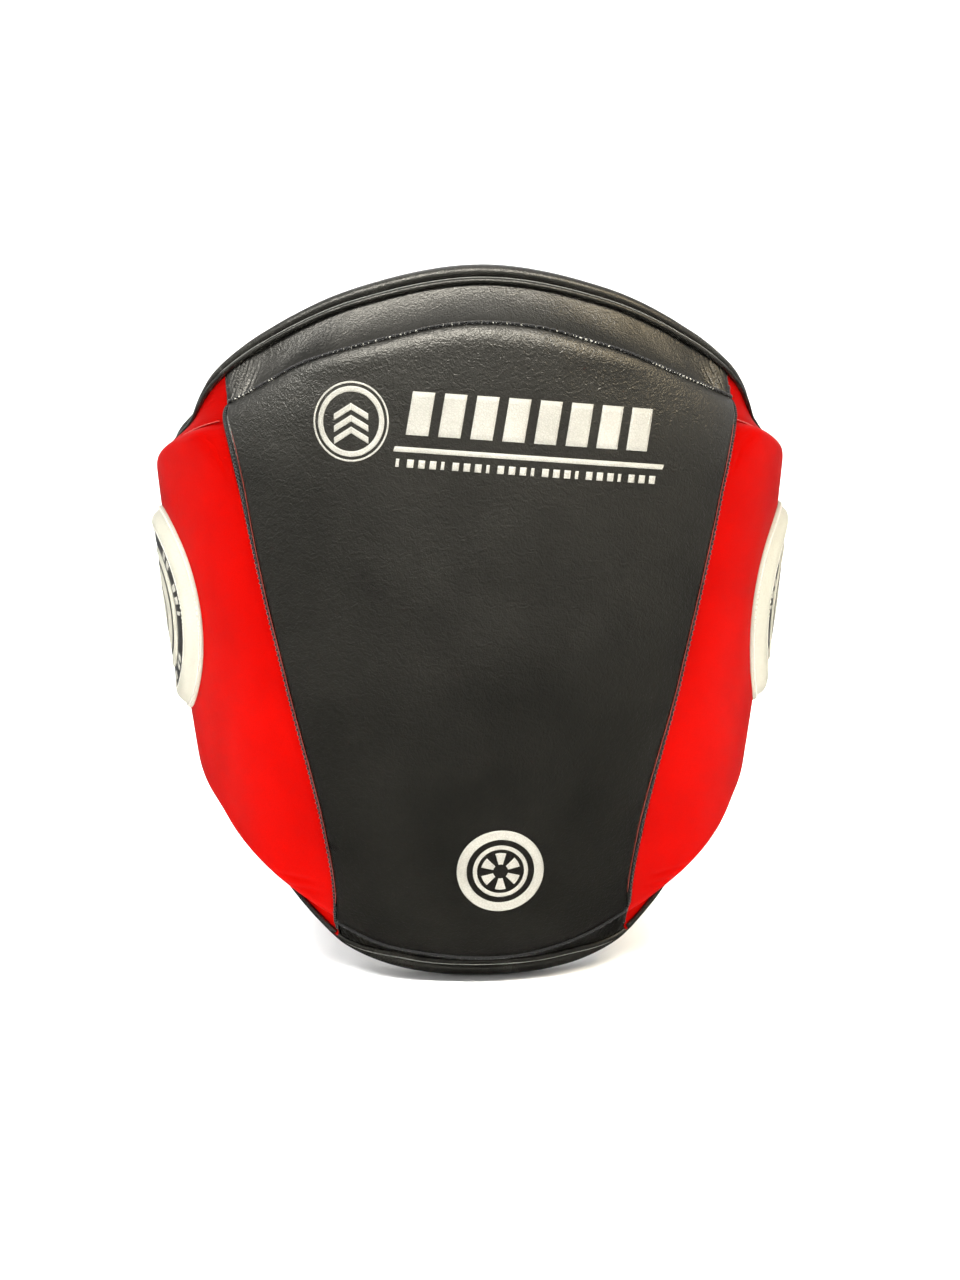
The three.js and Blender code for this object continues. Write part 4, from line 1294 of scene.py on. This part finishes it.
def add_prints():
    parts = [ring_part(-75, 333, 16.5, 19.5, 0.94), ring_part(-75, 333, 21.2, 22.2, 0.94)]
    for rise in (6.5, 0.0, -6.5):
        parts += chevron_parts(-75, 333 + rise, 9.5, 3.6)
    for k in range(8):
        away = k * 17.6
        parts.append(bar_part(away - 45, 12.2, 325.5 + PRINT_FALL * away, 24.0, 4.2))
    parts.append(bar_part(-52, 152, 316.5, 2.8, 1.0, 90, 3))
    for k in range(24):
        away = k * 6.2
        parts.append(bar_part(away - 51, 3.6 if k % 4 else 1.8, 308.0 + PRINT_FALL * away, 4.5, 0.6, 4, 4))
    many("print_upper", parts, PRINT_SILVER, "center")
    cx, cz = 7.5, 75.5
    parts = [ring_part(cx, cz, 19.6, 25.2), ring_part(cx, cz, 13.6, 16.0)]
    u, v = steps(-0.28, 0.28, 7), steps(4.4, 11.4, 6, True)
    for k in range(6):
        a = math.radians(60 * k + 30)
        parts.append(print_part(cx + v * np.cos(a + u), cz + v * np.sin(a + u)))
    many("print_lower", parts, PRINT_SILVER, "center")


add_prints()


# ---- Floor, light and picture settings ----

def add_stage():
    """A pale floor that sweeps up into the backdrop, left out of reflections."""
    width, front, depth, rise, bend = 6.0, -6.0, 2.6, 4.0, 1.6
    profile = [(front, 0.0), (depth - bend, 0.0)]
    for k in range(1, 17):
        a = math.pi / 2 * k / 16
        profile.append((depth - bend + bend * math.sin(a), bend - bend * math.cos(a)))
    profile.append((depth, rise))
    vertices = [(x, y, cad_low.z - 0.0006 + z) for y, z in profile for x in (-width, width)]
    faces = [(2 * i, 2 * i + 1, 2 * i + 3, 2 * i + 2) for i in range(len(profile) - 1)]
    nodes = Look("floor", Roughness=0.9, Specular_IOR_Level=0.1)
    tone = nodes.noise(nodes.place(), 3.0, 2.0)
    pale = nodes.ramp(tone, (0.3, 0.90), (0.7, 0.93))
    obj = make_object("floor", vertices, faces, nodes.finish(Base_Color=pale))
    obj.visible_glossy = False
    ground = bpy.data.collections.new("ground")
    ground.objects.link(obj)
    return ground


def add_light(name, place, at, size, power, colour=(1, 1, 1), receivers=None):
    data = bpy.data.lights.new(name, "AREA")
    data.energy = power
    data.color = colour
    data.shape = "RECTANGLE"
    data.size, data.size_y = size
    obj = bpy.data.objects.new(name, data)
    obj.location = place
    obj.rotation_mode = "QUATERNION"
    obj.rotation_quaternion = (Vector(at) - Vector(place)).to_track_quat("-Z", "Y")
    bpy.context.scene.collection.objects.link(obj)
    if receivers:
        obj.light_linking.receiver_collection = receivers


ground = add_stage()
add_light("key", (-0.15, -0.85, 1.66), (0, 0, 0.08), (2.5, 0.34), 84, (1.0, 0.99, 0.965))
add_light("front", (-0.3, -2.1, 1.4), (0, 0, 0.05), (1.8, 0.8), 6, (1.0, 0.99, 0.965))
add_light("top", (0.1, 0.25, 1.7), (0, 0.02, 0.0), (1.6, 1.0), 5, (1.0, 0.99, 0.97))
add_light("side_left", (-1.35, -0.35, 1.35), (0, 0.05, 0.05), (1.1, 0.5), 15, (0.98, 0.99, 1.0))
add_light("side_right", (1.30, -0.45, 1.30), (0, 0.05, 0.05), (1.0, 0.5), 15, (1.0, 0.84, 0.58))
add_light("back", (0.0, 1.9, 1.2), (0, 0.3, -0.1), (1.4, 1.4), 5)
add_light("floor_wash", (0, 0.4, 3.4), (0, 0.9, 0), (4.5, 4.5), 32, receivers=ground)
add_light("backdrop_wash", (0, -0.6, 3.0), (0, 2.6, 1.2), (3.5, 3.5), 50, receivers=ground)

world = bpy.data.worlds.new("studio")
world.use_nodes = True
sky = Nodes(world.node_tree)
height = sky.add("SeparateXYZ", {0: sky.add("TexCoord", {}, "Generated")}, "Z")
dome = sky.ramp(
    sky.remap(height, -1.0, 1.0, 0.0, 1.0),
    (0.20, 0.05), (0.42, (0.14, 0.14, 0.135)), (0.52, (0.48, 0.48, 0.47)), (0.62, (0.85, 0.85, 0.83)), (0.80, 0.22))
background = world.node_tree.nodes["Background"]
sky.put(background.inputs["Color"], dome)
sky.put(background.inputs["Strength"], 1.0)
bpy.context.scene.world = world
bpy.context.scene.view_settings.view_transform = "Standard"
bpy.context.scene.view_settings.look = "None"
bpy.context.scene.view_settings.exposure = 0.0
